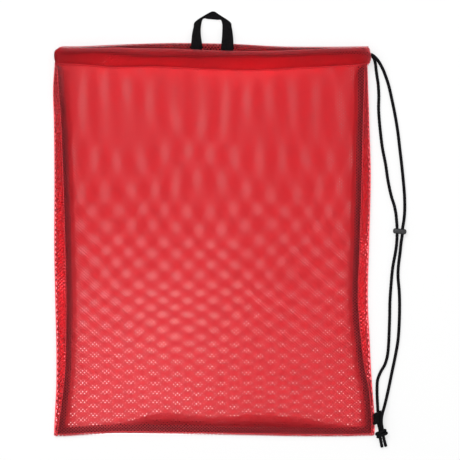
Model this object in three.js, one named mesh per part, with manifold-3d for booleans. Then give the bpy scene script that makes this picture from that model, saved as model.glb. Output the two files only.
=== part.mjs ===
// A drawstring swim bag of red net, empty, lying flat on its back.
// Millimetres. +X runs across the bag, +Y from the bottom seam to the mouth, +Z up from the surface.
// The tables are laid out about the middle of the cloth body. The finished group is moved so that
// its origin is at the middle of the base of the bag, with its loop and tab and without its cord.

import * as THREE from "three";
import { mergeVertices } from "three/addons/utils/BufferGeometryUtils.js";
import Module from "manifold-3d";

const wasm = await Module();
wasm.setup();

// Driving dimensions
const CLOTH = 1.2; // wall of the net
const GAP = 0.3; // clearance between neighbouring pieces
const HEM_GAP = 0.6; // clearance between the body and the hem's stitch line
const BODY_BOTTOM = -248; // level of the bottom seam
const BODY_TOP = 221; // level of the hem's stitch line
const FLOOR_RADIUS = 7; // how far the back cloth curls in where it leaves the surface
const SHOULDER = 5; // power of the front cloth's crown: higher is flatter in the middle
const HEM_BLEND = 66; // length over which the front cloth rises or falls to meet the hem
const BACK_LIFT = 28; // length over which the back cloth leaves the surface to meet the hem
const FOLD_FADE = 24; // power of the fade that keeps the folds off the bottom seam and the hem

const TAPE_WIDTH = 9;
const TAPE_THICKNESS = 1.2;
const TAPE_DROP = 0.8; // clearance between the tape and the front cloth above it
const TAPE_SPAN = { from: 0.03, to: 0.97 }; // share of the body's height that a side tape covers
const TAPE_END = 3; // the bottom tape stops this far from the side seams

const HEM_WALL = 1.0;
const HEM_STITCH_INSET = 1.6; // where the tunnel starts, from the stitch line
const BACK_HEM_LEVEL = 3.5; // height of the middle of the back hem
const TURN_RADIUS = 7.6; // the hem turns round the left end of the mouth at this radius
const MOUTH_LEFT = -190.5; // where that turn starts
const MOUTH_RIGHT = 201.5; // open end of the hem
const CORNER_ROUND = 4; // how far the lip drops round the left end

const CORD_RADIUS = 1.9;

const WEBBING = 1.5; // thickness of the hang loop's webbing
const LOOP_LEVEL = 7.4; // the loop lies on the back hem at this height
const LOOP_FLOOR = 0.3; // and comes down to this height at its far end
const LOOP_FALL = { from: 249, to: 292 };

const TAB = { left: 208.5, right: 216.6, bottom: -234.8, top: -220, height: 6.8, wall: 1.2, lean: 0.45 };
const TAB_FLOOR = 0.1;

const SLIDER = { x: 240.1, y: 12.4, z: 3.6, width: 17.4, height: 7, length: 7, bevel: 1.4, tilt: -5 };
const SLIDER_HOLE = { radius: 2.35, spacing: 6.8 };

// How finely the pieces are divided
const FRONT_COLUMN_COUNT = 28;
const BODY_ROW_COUNT = 29;
const ROW_CROWDING = 1.15; // power that draws the rows closer together near the bottom seam
const FLOOR_COLUMN_COUNT = 7;
const SIDE_POINTS = 4; // points on each quarter of the curve round a side edge
const MITRE_LIMIT = 0.7; // a bend is mitred no further than this cosine
const BOTTOM_TAPE_STATIONS = 25;
const HEM_STATIONS = { front: 20, turn: 8, back: 10 };
const CORD_SIDES = 8;
const RUN_STEPS = 56;
const TAIL_STEPS = 4;
const TAB_ARC = 4; // steps in each round end of the tab
const BEAD_ARC = 4;
const BEAD_BEVEL_STEPS = 3;
const HOLE_SIDES = 14;
const LUMP = { around: 12, down: 8 };

// Rows of numbers under named columns.
function table(columns, rows) {
  return rows.map((row) => Object.fromEntries(columns.map((column, i) => [column, row[i]])));
}

// The body across its width, a row for each section from the bottom seam to the hem.
// Edge is the outermost cloth, seam is where front and back are sewn, rise is the seam's height,
// and crown is the height of the front cloth in the middle.
const SECTION_COLUMNS = [
  "y", "leftEdge", "leftSeam", "rightSeam", "rightEdge", "leftRise", "rightRise", "crown",
];
const SECTIONS = table(SECTION_COLUMNS, [
  [-248, -202.3, -200.0, 205.4, 207.9, 4.2, 4.2, 4.2],
  [-233, -201.7, -197.4, 205.6, 208.2, 5.4, 5.2, 9.0],
  [-216, -200.8, -194.8, 204.6, 207.4, 6.6, 6.0, 12.4],
  [-189, -199.4, -191.4, 202.0, 205.2, 7.8, 7.0, 15.0],
  [-163, -199.0, -188.9, 196.5, 203.4, 8.4, 7.8, 16.4],
  [-127, -199.3, -188.0, 192.0, 201.7, 8.8, 8.4, 17.4],
  [-75, -200.6, -187.5, 187.9, 199.4, 9.0, 8.8, 17.8],
  [-11, -201.8, -188.8, 190.0, 200.8, 9.2, 9.0, 17.8],
  [78, -201.6, -191.4, 192.8, 203.0, 9.8, 9.4, 17.8],
  [150, -202.2, -194.2, 194.4, 201.2, 10.8, 10.0, 18.0],
  [190, -203.2, -197.0, 195.6, 199.8, 11.8, 10.8, 18.4],
  [221, -201.2, -198.0, 195.6, 198.8, 12.4, 11.6, 18.6],
]);

// The bottom seam isn't quite straight.
const BOTTOM_EDGE = table(["x", "y"], [
  [-203, -248.8],
  [-187, -248.8],
  [-136, -245.8],
  [-111, -245.2],
  [42, -247.7],
  [113, -249.0],
  [170, -249.0],
  [208, -248.2],
]);

// The hem round the mouth, front and back, from left to right. First the height of its middle and
// the stitch line below, then its lip at the mouth and the line of the cord inside.
const FRONT_HEM = table(["x", "level", "stitch"], [
  [-190.5, 18.7, 225.0],
  [-171, 18.7, 224.2],
  [-125, 18.8, 220.0],
  [-72, 18.8, 220.8],
  [-36, 18.6, 219.4],
  [0, 18.2, 217.6],
  [49, 17.2, 216.3],
  [138, 13.4, 221.0],
  [183, 11.4, 223.6],
  [201.5, 10.9, 226.3],
]);
const FRONT_LIP = table(["x", "lip", "cord"], [
  [-190.5, 246.0, 238.0],
  [-171, 245.2, 239.6],
  [-149, 245.6, 240.6],
  [-125, 246.0, 239.2],
  [-104, 245.4, 237.2],
  [-72, 245.1, 235.4],
  [-36, 244.2, 235.2],
  [0, 242.6, 235.0],
  [49, 241.7, 236.0],
  [75, 241.9, 236.0],
  [100, 242.9, 236.4],
  [138, 244.8, 238.6],
  [183, 246.4, 240.0],
  [201.5, 246.8, 238.4],
]);
const BACK_HEM = table(["x", "stitch"], [
  [-190.5, 225],
  [-156, 224],
  [-54, 224],
  [61, 224],
  [138, 224],
  [201.5, 225],
]);
const BACK_LIP = table(["x", "lip", "cord"], [
  [-190.5, 248.6, 238.0],
  [-168, 248.7, 239.8],
  [-130, 250.4, 241.6],
  [-79, 252.2, 243.2],
  [-41, 252.8, 243.8],
  [0, 252.3, 243.6],
  [31, 251.5, 243.2],
  [75, 249.0, 241.8],
  [100, 248.2, 241.0],
  [151, 248.1, 240.0],
  [201.5, 248.6, 237.4],
]);
// The hem in section: place runs from 0 at the stitch line to 1 at the lip.
const HEM_SECTION = table(["place", "half"], [
  [0, 1.2],
  [0.3, 2.9],
  [0.45, 3.5],
  [0.82, 3.5],
  [0.93, 2.6],
  [0.985, 1.25],
]);

// Soft folds raised in the front cloth, a row for each ridge from one end to the other.
const FOLDS = table(["x0", "y0", "x1", "y1", "width", "height"], [
  [-150, 214, -160, 150, 12, 1.8],
  [-118, 214, -121, 118, 12, 1.9],
  [-86, 214, -90, 128, 12, 1.7],
  [-56, 214, -55, 122, 12, 1.4],
  [-18, 214, -12, 160, 13, 1.1],
  [66, 212, 74, 160, 14, 1.0],
  [176, 214, 150, 150, 13, 1.6],
  [30, -216, 190, -172, 13, 1.8],
  [20, -196, 160, -142, 14, 1.3],
  [-176, -176, -96, -218, 14, 1.3],
]);

// Outline of the hang loop, from its left foot over the peak to its right foot.
const LOOP_OUTLINE = table(["outerX", "outerY", "innerX", "innerY"], [
  [-28.0, 230.0, -12.2, 230.0],
  [-27.4, 244.5, -12.4, 244.5],
  [-26.6, 252.6, -12.8, 253.2],
  [-25.6, 263.7, -14.1, 263.0],
  [-23.7, 273.3, -14.1, 273.9],
  [-21.1, 281.0, -11.5, 284.0],
  [-5.1, 291.4, -4.5, 283.9],
  [2.2, 293.8, 1.9, 283.4],
  [9.0, 290.0, 7.0, 282.9],
  [23.0, 280.4, 11.5, 282.4],
  [25.2, 273.9, 13.2, 275.2],
  [26.9, 262.6, 12.8, 262.4],
  [27.5, 252.2, 12.0, 252.2],
  [27.6, 243.8, 11.5, 243.8],
  [27.8, 230.0, 11.4, 230.0],
]);

// Route of each free stretch of the cord, from the hem to the knot.
const OUTER_RUN = [
  [202.8, 238.4, 10.9], [206.0, 236.6, 10.2], [211.7, 231.0, 8.2], [217.9, 220.8, 5.4],
  [222.1, 210.6, 3.8], [225.6, 200.3, 2.7], [230.4, 179.8, 2.0], [234.5, 159.4, 2.0],
  [237.8, 138.9, 2.0], [240.2, 118.4, 2.0], [242.6, 97.9, 2.0], [244.7, 77.4, 2.0],
  [246.3, 57.0, 2.0], [246.5, 38.0, 2.0], [245.4, 26.2, 2.8], [243.7, 15.9, 3.6],
  [243.4, 8.9, 3.6], [241.8, -3.0, 2.8], [240.6, -14.7, 2.0], [238.4, -33.0, 2.0],
  [238.0, -46.0, 2.0], [239.5, -64.0, 2.0], [240.0, -82.0, 2.0], [239.4, -106.9, 2.0],
  [237.9, -127.4, 2.0], [234.4, -147.8, 2.0], [230.1, -168.3, 2.0], [225.9, -188.8, 2.2],
  [222.6, -203.0, 3.8], [219.9, -213.0, 6.4], [217.7, -220.5, 8.2], [216.5, -227.0, 8.7],
  [216.5, -233.0, 8.5], [217.2, -237.0, 7.4], [217.9, -240.6, 6.0],
];
const INNER_RUN = [
  [202.9, 237.2, 3.5], [205.4, 235.8, 3.4], [207.6, 232.4, 3.2], [209.0, 227.0, 2.8],
  [209.8, 220.0, 2.4], [211.1, 210.6, 2.0], [212.6, 200.3, 2.0], [213.4, 186.0, 2.0],
  [213.1, 170.0, 2.0], [213.7, 158.0, 2.0], [215.5, 138.9, 2.0], [218.1, 118.4, 2.0],
  [222.1, 97.9, 2.0], [225.1, 77.4, 2.0], [229.5, 57.0, 2.0], [232.8, 46.7, 2.0],
  [235.0, 36.5, 2.2], [236.1, 26.2, 2.8], [236.7, 16.5, 3.6], [236.7, 8.3, 3.6],
  [236.1, -4.0, 2.8], [234.7, -14.7, 2.0], [231.2, -34.0, 2.0], [229.1, -55.7, 2.0],
  [227.6, -78.0, 2.0], [227.3, -96.6, 2.0], [226.6, -117.1, 2.0], [225.8, -134.0, 2.0],
  [224.2, -147.8, 2.0], [221.1, -158.1, 2.0], [215.5, -168.0, 2.0], [211.9, -177.6, 2.0],
  [211.1, -188.8, 2.0], [211.4, -203.0, 2.2], [211.9, -213.0, 3.0], [212.3, -220.0, 3.5],
  [212.6, -227.0, 3.5], [212.9, -234.0, 3.5], [213.8, -237.6, 3.5], [214.7, -241.1, 3.6],
];
const LEFT_TAIL = [[215.6, -254.2, 3.5], [216.4, -258.0, 2.6], [217.6, -264.0, 2.0]];
const RIGHT_TAIL = [[219.8, -252.9, 3.8], [221.1, -257.9, 2.6], [222.6, -263.0, 2.0]];

// The knot: a body and the two bights that stand out of it.
const KNOT_LUMPS = table(["x", "y", "z", "rx", "ry", "rz"], [
  [216.6, -247.4, 4.7, 5.4, 6.5, 4.5],
  [221.0, -243.9, 4.5, 3.4, 3.6, 3.4],
  [212.5, -248.2, 4.2, 3.4, 4.0, 3.4],
]);

const RED_NET = { color: 0xc4202f, roughness: 0.8, metalness: 0 };
const BLACK_TAPE = { color: 0x18171a, roughness: 0.85, metalness: 0 };
const BLACK_WEBBING = { color: 0x141315, roughness: 0.75, metalness: 0 };
const BLACK_CORD = { color: 0x101012, roughness: 0.7, metalness: 0 };
const GREY_PLASTIC = { color: 0x3a393c, roughness: 0.35, metalness: 0 };

// Smooth curve through a table: the column's value where the key column reads "at".
function smoothColumn(rows, key, column) {
  const slope = (a, b) => (rows[b][column] - rows[a][column]) / (rows[b][key] - rows[a][key]);
  const last = rows.length - 1;
  return (at) => {
    const held = THREE.MathUtils.clamp(at, rows[0][key], rows[last][key]);
    const end = Math.max(1, rows.findIndex((row) => held <= row[key]));
    const start = end - 1;
    const span = rows[end][key] - rows[start][key];
    const t = (held - rows[start][key]) / span;
    const slopeIn = slope(Math.max(0, start - 1), end);
    const slopeOut = slope(start, Math.min(last, end + 1));
    const rise = rows[end][column] - rows[start][column];
    const ease = t * t * (3 - 2 * t);
    const swing = slopeIn * t * (1 - t) * (1 - t) - slopeOut * t * t * (1 - t);
    return rows[start][column] + rise * ease + span * swing;
  };
}

const { lerp, smoothstep } = THREE.MathUtils;
// A smooth curve through each column of a table after its first, by the name of the column.
function smoothColumns(rows) {
  const [by, ...columns] = Object.keys(rows[0]);
  return Object.fromEntries(columns.map((column) => [column, smoothColumn(rows, by, column)]));
}

const section = smoothColumns(SECTIONS);
const bottomEdge = smoothColumn(BOTTOM_EDGE, "x", "y");
const frontHem = { ...smoothColumns(FRONT_HEM), ...smoothColumns(FRONT_LIP) };
const backHem = { ...smoothColumns(BACK_HEM), ...smoothColumns(BACK_LIP) };

// Evenly spread numbers from one to the other, both included.
function spread(from, to, count) {
  return Array.from({ length: count }, (_, i) => lerp(from, to, i / (count - 1)));
}

// A closed body from points and triangles, turned so that its faces point out.
function closedGeometry(points, faces) {
  const volume = faces.reduce((sum, [a, b, c]) => {
    const cross = new THREE.Vector3().crossVectors(points[b], points[c]);
    return sum + points[a].dot(cross);
  }, 0);
  const turned = volume < 0 ? faces.map(([a, b, c]) => [a, c, b]) : faces;
  const geometry = new THREE.BufferGeometry().setFromPoints(points);
  geometry.setIndex(turned.flat());
  geometry.computeVertexNormals();
  return geometry;
}

// A wall between two grids of points, outer and inner, closed along its rims.
function wall(outer, inner, ring = false) {
  const rows = outer.length;
  const columns = outer[0].length;
  const inside = rows * columns;
  const at = (row, column) => row * columns + (column % columns);
  const faces = [];
  const quad = (a, b, c, d) => faces.push([a, b, c], [a, c, d]);
  for (let row = 0; row < rows - 1; row += 1) {
    for (let column = 0; column < (ring ? columns : columns - 1); column += 1) {
      const a = at(row, column);
      const b = at(row, column + 1);
      const c = at(row + 1, column + 1);
      const d = at(row + 1, column);
      quad(a, b, c, d);
      quad(inside + d, inside + c, inside + b, inside + a);
      if (row === 0) quad(b, a, inside + a, inside + b);
      if (row === rows - 2) quad(d, c, inside + c, inside + d);
      if (!ring && column === 0) quad(a, d, inside + d, inside + a);
      if (!ring && column === columns - 2) quad(c, b, inside + b, inside + c);
    }
  }
  return closedGeometry([...outer.flat(), ...inner.flat()], faces);
}

// A solid bar through a row of closed rings of points, capped at both ends.
function bar(rings) {
  const sides = rings[0].length;
  const last = (rings.length - 1) * sides;
  const faces = [];
  for (let ring = 0; ring < rings.length - 1; ring += 1) {
    for (let side = 0; side < sides; side += 1) {
      const a = ring * sides + side;
      const b = ring * sides + ((side + 1) % sides);
      faces.push([a, b, b + sides], [a, b + sides, a + sides]);
    }
  }
  for (let side = 1; side < sides - 1; side += 1) {
    faces.push([0, side + 1, side], [last, last + side, last + side + 1]);
  }
  return closedGeometry(rings.flat(), faces);
}

// A line of points in the plane, moved sideways by a distance and mitred at its bends.
function offsetLine(points, distance) {
  return points.map((point, i) => {
    const before = points[Math.max(0, i - 1)];
    const after = points[Math.min(points.length - 1, i + 1)];
    const along = new THREE.Vector2().subVectors(after, before).normalize();
    const first = new THREE.Vector2().subVectors(point, before).normalize();
    const mitre = i === 0 || i === points.length - 1 ? 1 : Math.max(MITRE_LIMIT, along.dot(first));
    return new THREE.Vector2(-along.y, along.x).multiplyScalar(distance / mitre).add(point);
  });
}

// Height of the front hem's middle, also round its turn at the left end.
function hemLevel(x) {
  if (x >= MOUTH_LEFT) return frontHem.level(x);
  const reach = Math.min(TURN_RADIUS, MOUTH_LEFT - x);
  return BACK_HEM_LEVEL + TURN_RADIUS + Math.sqrt(TURN_RADIUS ** 2 - reach ** 2);
}

// Height that the folds add to the front cloth.
function foldHeight(x, y) {
  const place = new THREE.Vector3(x, y, 0);
  const nearest = new THREE.Vector3();
  return FOLDS.reduce((sum, { x0, y0, x1, y1, width, height }) => {
    const ridge = new THREE.Line3(new THREE.Vector3(x0, y0, 0), new THREE.Vector3(x1, y1, 0));
    ridge.closestPointToPoint(place, true, nearest);
    return sum + height * Math.exp(-((place.distanceTo(nearest) / width) ** 2));
  }, 0);
}

// Outer surface of the front cloth: u runs from the left seam to the right, v from the bottom up.
function frontPoint(u, v) {
  const level = lerp(BODY_BOTTOM, BODY_TOP, v);
  const x = lerp(section.leftSeam(level) + GAP, section.rightSeam(level) - GAP, u);
  const y = lerp(bottomEdge(x), frontHem.stitch(x) - HEM_GAP, v);
  const rise = lerp(section.leftRise(level), section.rightRise(level), u);
  const across = 1 - Math.abs(2 * u - 1) ** SHOULDER;
  const edgeFade = across * (1 - Math.abs(2 * v - 1) ** FOLD_FADE);
  const loose = rise + (section.crown(level) - rise) * across;
  const toHem = smoothstep(level, BODY_TOP - HEM_BLEND, BODY_TOP);
  const z = lerp(loose, hemLevel(x) + CLOTH / 2, toHem) + foldHeight(x, y) * edgeFade;
  return new THREE.Vector3(x, y, z);
}

// Rows of the body, closer near the bottom seam, shared by front, back and tapes so that they meet.
// Columns of the front cloth: the first and last are as wide as the tape beneath them.
const TAPE_COLUMN = (TAPE_WIDTH + 1) / (section.rightSeam(0) - section.leftSeam(0));
const FRONT_COLUMNS = [0, ...spread(TAPE_COLUMN, 1 - TAPE_COLUMN, FRONT_COLUMN_COUNT), 1];
const BODY_ROWS = spread(0, 1, BODY_ROW_COUNT).map((t) => t ** ROW_CROWDING);

function frontPanel() {
  const outer = BODY_ROWS.map((v) => FRONT_COLUMNS.map((u) => frontPoint(u, v)));
  const drop = new THREE.Vector3(0, 0, -CLOTH);
  const inner = outer.map((row) => row.map((point) => point.clone().add(drop)));
  return wall(outer, inner);
}

// One side of the back cloth in section, from the seam round the edge to the surface.
function sideCurve(seam, edge, rise, floor, inward) {
  const middle = (rise + floor) / 2;
  const quarter = spread(0, Math.PI / 2, SIDE_POINTS);
  const over = quarter.map((t) => new THREE.Vector2(
    lerp(seam, edge, Math.sin(t)), lerp(middle, rise, Math.cos(t))));
  const under = quarter.slice(1).map((t) => new THREE.Vector2(
    edge + inward * FLOOR_RADIUS * (1 - Math.cos(t)), lerp(middle, floor, Math.sin(t))));
  return [...over, ...under];
}

function backPanel() {
  const outer = [];
  const inner = [];
  for (const v of BODY_ROWS) {
    const level = lerp(BODY_BOTTOM, BODY_TOP, v);
    const floor = (BACK_HEM_LEVEL - CLOTH / 2) * smoothstep(level, BODY_TOP - BACK_LIFT, BODY_TOP);
    const topRise = (x) => hemLevel(x) + CLOTH / 2;
    const toHem = smoothstep(level, BODY_TOP - HEM_BLEND, BODY_TOP);
    const leftRise = lerp(section.leftRise(level), topRise(section.leftSeam(level)), toHem);
    const rightRise = lerp(section.rightRise(level), topRise(section.rightSeam(level)), toHem);
    const left = sideCurve(section.leftSeam(level), section.leftEdge(level), leftRise, floor, 1);
    const right = sideCurve(section.rightSeam(level), section.rightEdge(level), rightRise, floor, -1);
    right.reverse();
    const between = spread(left.at(-1).x, right[0].x, FLOOR_COLUMN_COUNT).slice(1, -1);
    const line = [...left, ...between.map((x) => new THREE.Vector2(x, floor)), ...right];
    const place = (point) => {
      const y = lerp(bottomEdge(point.x), backHem.stitch(point.x) - HEM_GAP, v);
      return new THREE.Vector3(point.x, y, point.y);
    };
    const lining = offsetLine(line, CLOTH);
    for (const end of [0, line.length - 1]) {
      lining[end].set(line[end].x, line[end].y - CLOTH);
    }
    outer.push(line.map(place));
    inner.push(lining.map(place));
  }
  return wall(outer, inner);
}

// Tape along a side seam, hung under the front cloth. Side is 0 on the left and 1 on the right.
function sideTape(side) {
  const inward = side === 0 ? 1 : -1;
  const rows = BODY_ROWS.filter((v) => v > TAPE_SPAN.from && v < TAPE_SPAN.to);
  const rings = rows.map((v) => {
    const edge = frontPoint(side, v);
    const beyond = frontPoint(side + inward * TAPE_COLUMN, v);
    const along = new THREE.Vector3().subVectors(beyond, edge);
    const step = (distance, drop) => edge.clone()
      .addScaledVector(along, distance / Math.abs(along.x))
      .add(new THREE.Vector3(0, 0, -CLOTH - TAPE_DROP - drop));
    return [
      step(GAP, 0), step(TAPE_WIDTH, 0),
      step(TAPE_WIDTH, TAPE_THICKNESS), step(GAP, TAPE_THICKNESS),
    ];
  });
  return bar(rings);
}

// Tape along the bottom seam, between the front and back cloth.
function bottomTape() {
  const floor = CLOTH + GAP;
  const start = section.leftSeam(BODY_BOTTOM) + TAPE_END;
  const end = section.rightSeam(BODY_BOTTOM) - TAPE_END;
  const rings = spread(start, end, BOTTOM_TAPE_STATIONS).map((x) => {
    const near = bottomEdge(x) + GAP;
    const far = near + TAPE_WIDTH;
    const roof = floor + TAPE_THICKNESS;
    return [[near, floor], [far, floor], [far, roof], [near, roof]]
      .map(([y, z]) => new THREE.Vector3(x, y, z));
  });
  return bar(rings);
}

// Stations along the hem, from the open end across the front, round the left end and across the back.
// The cloth is stored in these three stretches, with a small gap between them.
function hemStations() {
  const middle = BACK_HEM_LEVEL + TURN_RADIUS;
  const end = MOUTH_LEFT + GAP;
  const front = spread(MOUTH_RIGHT, end, HEM_STATIONS.front).map((x) => ({
    x, z: frontHem.level(x), nx: 0, nz: 1,
    lip: frontHem.lip(x), stitch: frontHem.stitch(x), cord: frontHem.cord(x),
  }));
  const turn = spread(0, Math.PI, HEM_STATIONS.turn).map((angle) => ({
    x: MOUTH_LEFT - TURN_RADIUS * Math.sin(angle), z: middle + TURN_RADIUS * Math.cos(angle),
    nx: -Math.sin(angle), nz: Math.cos(angle),
    lip: lerp(frontHem.lip(MOUTH_LEFT), backHem.lip(MOUTH_LEFT), angle / Math.PI)
      - CORNER_ROUND * Math.sin(angle),
    stitch: frontHem.stitch(MOUTH_LEFT),
    cord: lerp(frontHem.cord(MOUTH_LEFT), backHem.cord(MOUTH_LEFT), angle / Math.PI),
  }));
  const back = spread(end, MOUTH_RIGHT, HEM_STATIONS.back).map((x) => ({
    x, z: BACK_HEM_LEVEL, nx: 0, nz: -1,
    lip: backHem.lip(x), stitch: backHem.stitch(x), cord: backHem.cord(x),
  }));
  return { front, turn, back };
}

// A ring round the hem at a station, its walls drawn in by a thickness.
function hemRing({ x, z, nx, nz, lip, stitch }, inset) {
  const low = stitch + (inset > 0 ? HEM_STITCH_INSET : 0);
  const high = lip - inset;
  const over = HEM_SECTION.map(({ place, half }) => [lerp(low, high, place), half - inset]);
  const under = over.map(([y, half]) => [y, -half]).reverse();
  const ring = [...over, [high, 0], ...under];
  return ring.map(([y, half]) => new THREE.Vector3(x + nx * half, y, z + nz * half));
}

function casing(stations) {
  const outer = stations.map((station) => hemRing(station, 0));
  const inner = stations.map((station) => hemRing(station, HEM_WALL));
  return wall(outer, inner, true);
}

function cordInCasing() {
  const corners = spread(0, 2 * Math.PI, CORD_SIDES + 1).slice(1);
  const stations = Object.values(hemStations()).flat();
  return bar(stations.map(({ x, z, nx, nz, cord }) => corners.map((angle) => {
    const out = CORD_RADIUS * Math.cos(angle);
    return new THREE.Vector3(x + nx * out, cord + CORD_RADIUS * Math.sin(angle), z + nz * out);
  })));
}

// A length of cord along a route.
function cordAlong(route, steps) {
  const round = new THREE.Shape().absarc(0, 0, CORD_RADIUS, 0, 2 * Math.PI);
  const points = route.map((point) => new THREE.Vector3(...point));
  const path = new THREE.CatmullRomCurve3(points, false, "centripetal");
  return new THREE.ExtrudeGeometry(round, { steps, extrudePath: path, curveSegments: CORD_SIDES / 2 });
}

function hangLoop() {
  const level = (y) => lerp(LOOP_LEVEL, LOOP_FLOOR, smoothstep(y, LOOP_FALL.from, LOOP_FALL.to));
  const corner = (x, y, lift) => new THREE.Vector3(x, y, level(y) + lift);
  return bar(LOOP_OUTLINE.map(({ outerX, outerY, innerX, innerY }) => [
    corner(outerX, outerY, 0), corner(innerX, innerY, 0),
    corner(innerX, innerY, WEBBING), corner(outerX, outerY, WEBBING),
  ]));
}

// A flat ring of webbing, extruded along the seam and leaning up towards its fold.
function sideTab() {
  const ring = (inset) => {
    const radius = TAB.height / 2 - inset;
    const start = TAB.left + inset + radius;
    const end = TAB.right - inset - radius;
    const middle = TAB_FLOOR + TAB.height / 2;
    return new THREE.Shape()
      .absarc(end, middle, radius, -Math.PI / 2, Math.PI / 2)
      .absarc(start, middle, radius, Math.PI / 2, 1.5 * Math.PI);
  };
  const outline = ring(0);
  outline.holes.push(new THREE.Path(ring(TAB.wall).getPoints(TAB_ARC).reverse()));
  const geometry = new THREE.ExtrudeGeometry(outline, {
    depth: TAB.top - TAB.bottom, bevelEnabled: false, curveSegments: TAB_ARC,
  });
  geometry.rotateX(Math.PI / 2);
  geometry.translate(0, TAB.top, 0);
  const lean = new THREE.Matrix4().makeShear(TAB.lean, 0, 0, 0, 0, 0);
  geometry.translate(-TAB.left, 0, 0).applyMatrix4(lean).translate(TAB.left, 0, 0);
  return geometry;
}

// A closed geometry as a solid that can be joined and cut, and back again.
function solidFrom(geometry) {
  geometry.deleteAttribute("normal");
  geometry.deleteAttribute("uv");
  const merged = mergeVertices(geometry);
  const mesh = new wasm.Mesh({
    numProp: 3,
    vertProperties: new Float32Array(merged.attributes.position.array),
    triVerts: new Uint32Array(merged.index.array),
  });
  return new wasm.Manifold(mesh);
}

function geometryFrom(solid) {
  const mesh = solid.getMesh();
  const geometry = new THREE.BufferGeometry();
  geometry.setAttribute("position", new THREE.BufferAttribute(new Float32Array(mesh.vertProperties), 3));
  geometry.setIndex([...mesh.triVerts]);
  geometry.computeVertexNormals();
  return geometry;
}

// An oval bead with two holes, its holes along Y.
function cordSlider() {
  const { width, height, length, bevel } = SLIDER;
  const reach = (width - height) / 2;
  const outline = new THREE.Shape()
    .absarc(reach, 0, height / 2 - bevel, -Math.PI / 2, Math.PI / 2)
    .absarc(-reach, 0, height / 2 - bevel, Math.PI / 2, 1.5 * Math.PI);
  const body = new THREE.ExtrudeGeometry(outline, {
    depth: length - 2 * bevel, bevelThickness: bevel, bevelSize: bevel,
    bevelSegments: BEAD_BEVEL_STEPS, curveSegments: BEAD_ARC,
  });
  let bead = solidFrom(body.translate(0, 0, bevel - length / 2));
  for (const side of [-1, 1]) {
    const hole = new THREE.CylinderGeometry(SLIDER_HOLE.radius, SLIDER_HOLE.radius, 2 * length, HOLE_SIDES);
    hole.rotateX(Math.PI / 2).translate(side * SLIDER_HOLE.spacing / 2, 0, 0);
    bead = bead.subtract(solidFrom(hole));
  }
  return geometryFrom(bead).rotateX(Math.PI / 2);
}

function knot() {
  const lumps = KNOT_LUMPS.map(({ x, y, z, rx, ry, rz }) => {
    const ball = new THREE.SphereGeometry(1, LUMP.around, LUMP.down);
    return solidFrom(ball.rotateX(Math.PI / 2).scale(rx, ry, rz).translate(x, y, z));
  });
  return geometryFrom(lumps.reduce((sum, lump) => sum.add(lump)));
}

function piece(name, geometry, finish) {
  const mesh = new THREE.Mesh(geometry, new THREE.MeshStandardMaterial(finish));
  mesh.name = name;
  return mesh;
}

const hem = hemStations();
const bag = new THREE.Group();
bag.add(
  piece("front_panel", frontPanel(), RED_NET),
  piece("back_panel", backPanel(), RED_NET),
  piece("casing_front", casing(hem.front), RED_NET),
  piece("casing_turn", casing(hem.turn), RED_NET),
  piece("casing_back", casing(hem.back), RED_NET),
  piece("left_seam_tape", sideTape(0), BLACK_TAPE),
  piece("right_seam_tape", sideTape(1), BLACK_TAPE),
  piece("bottom_seam_tape", bottomTape(), BLACK_TAPE),
  piece("hang_loop", hangLoop(), BLACK_WEBBING),
  piece("side_tab", sideTab(), BLACK_WEBBING),
  piece("cord_in_casing", cordInCasing(), BLACK_CORD),
);

const cord = new THREE.Group();
cord.add(
  piece("cord_outer_run", cordAlong(OUTER_RUN, RUN_STEPS), BLACK_CORD),
  piece("cord_inner_run", cordAlong(INNER_RUN, RUN_STEPS), BLACK_CORD),
  piece("cord_tail_left", cordAlong(LEFT_TAIL, TAIL_STEPS), BLACK_CORD),
  piece("cord_tail_right", cordAlong(RIGHT_TAIL, TAIL_STEPS), BLACK_CORD),
  piece("end_knot", knot(), BLACK_CORD),
);

const slider = piece("cord_slider", cordSlider(), GREY_PLASTIC);
slider.position.set(SLIDER.x, SLIDER.y, SLIDER.z);
slider.rotation.z = THREE.MathUtils.degToRad(SLIDER.tilt);
cord.add(slider);

const base = new THREE.Box3().setFromObject(bag, true);
const middle = base.getCenter(new THREE.Vector3());
const swimBag = new THREE.Group();
for (const part of [bag, cord]) {
  part.position.set(-middle.x, -middle.y, -base.min.z);
  swimBag.add(part);
}

export default swimBag;
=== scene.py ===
"""Looks of a drawstring swim bag of red net, lying flat on its back.

Tables and sizes are in millimetres in the layout's own frame, with +X across the bag, +Y towards the
mouth and +Z up from the surface. to_frame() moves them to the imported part's frame, in metres.
"""

import math

import bpy
import numpy as np
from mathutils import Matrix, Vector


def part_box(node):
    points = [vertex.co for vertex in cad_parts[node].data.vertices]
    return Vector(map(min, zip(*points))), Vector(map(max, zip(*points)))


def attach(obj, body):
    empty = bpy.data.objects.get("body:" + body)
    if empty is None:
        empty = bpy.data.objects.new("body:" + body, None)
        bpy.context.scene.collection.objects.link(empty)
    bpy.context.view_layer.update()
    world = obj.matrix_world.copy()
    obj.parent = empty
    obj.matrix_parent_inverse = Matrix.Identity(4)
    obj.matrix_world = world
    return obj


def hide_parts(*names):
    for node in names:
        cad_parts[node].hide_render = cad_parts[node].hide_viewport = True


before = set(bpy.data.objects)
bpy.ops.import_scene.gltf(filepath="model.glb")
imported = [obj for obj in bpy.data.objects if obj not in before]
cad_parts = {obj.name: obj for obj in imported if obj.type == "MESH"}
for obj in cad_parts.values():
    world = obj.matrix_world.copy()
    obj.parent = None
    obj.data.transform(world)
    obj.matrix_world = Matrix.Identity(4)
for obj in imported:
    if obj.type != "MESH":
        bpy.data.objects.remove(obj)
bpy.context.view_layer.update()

MM = 0.001
UP = np.array([0.0, 0.0, 1.0])
INWARD = {"left": 1, "right": -1}  # direction along X from each side of the bag to its middle

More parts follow.
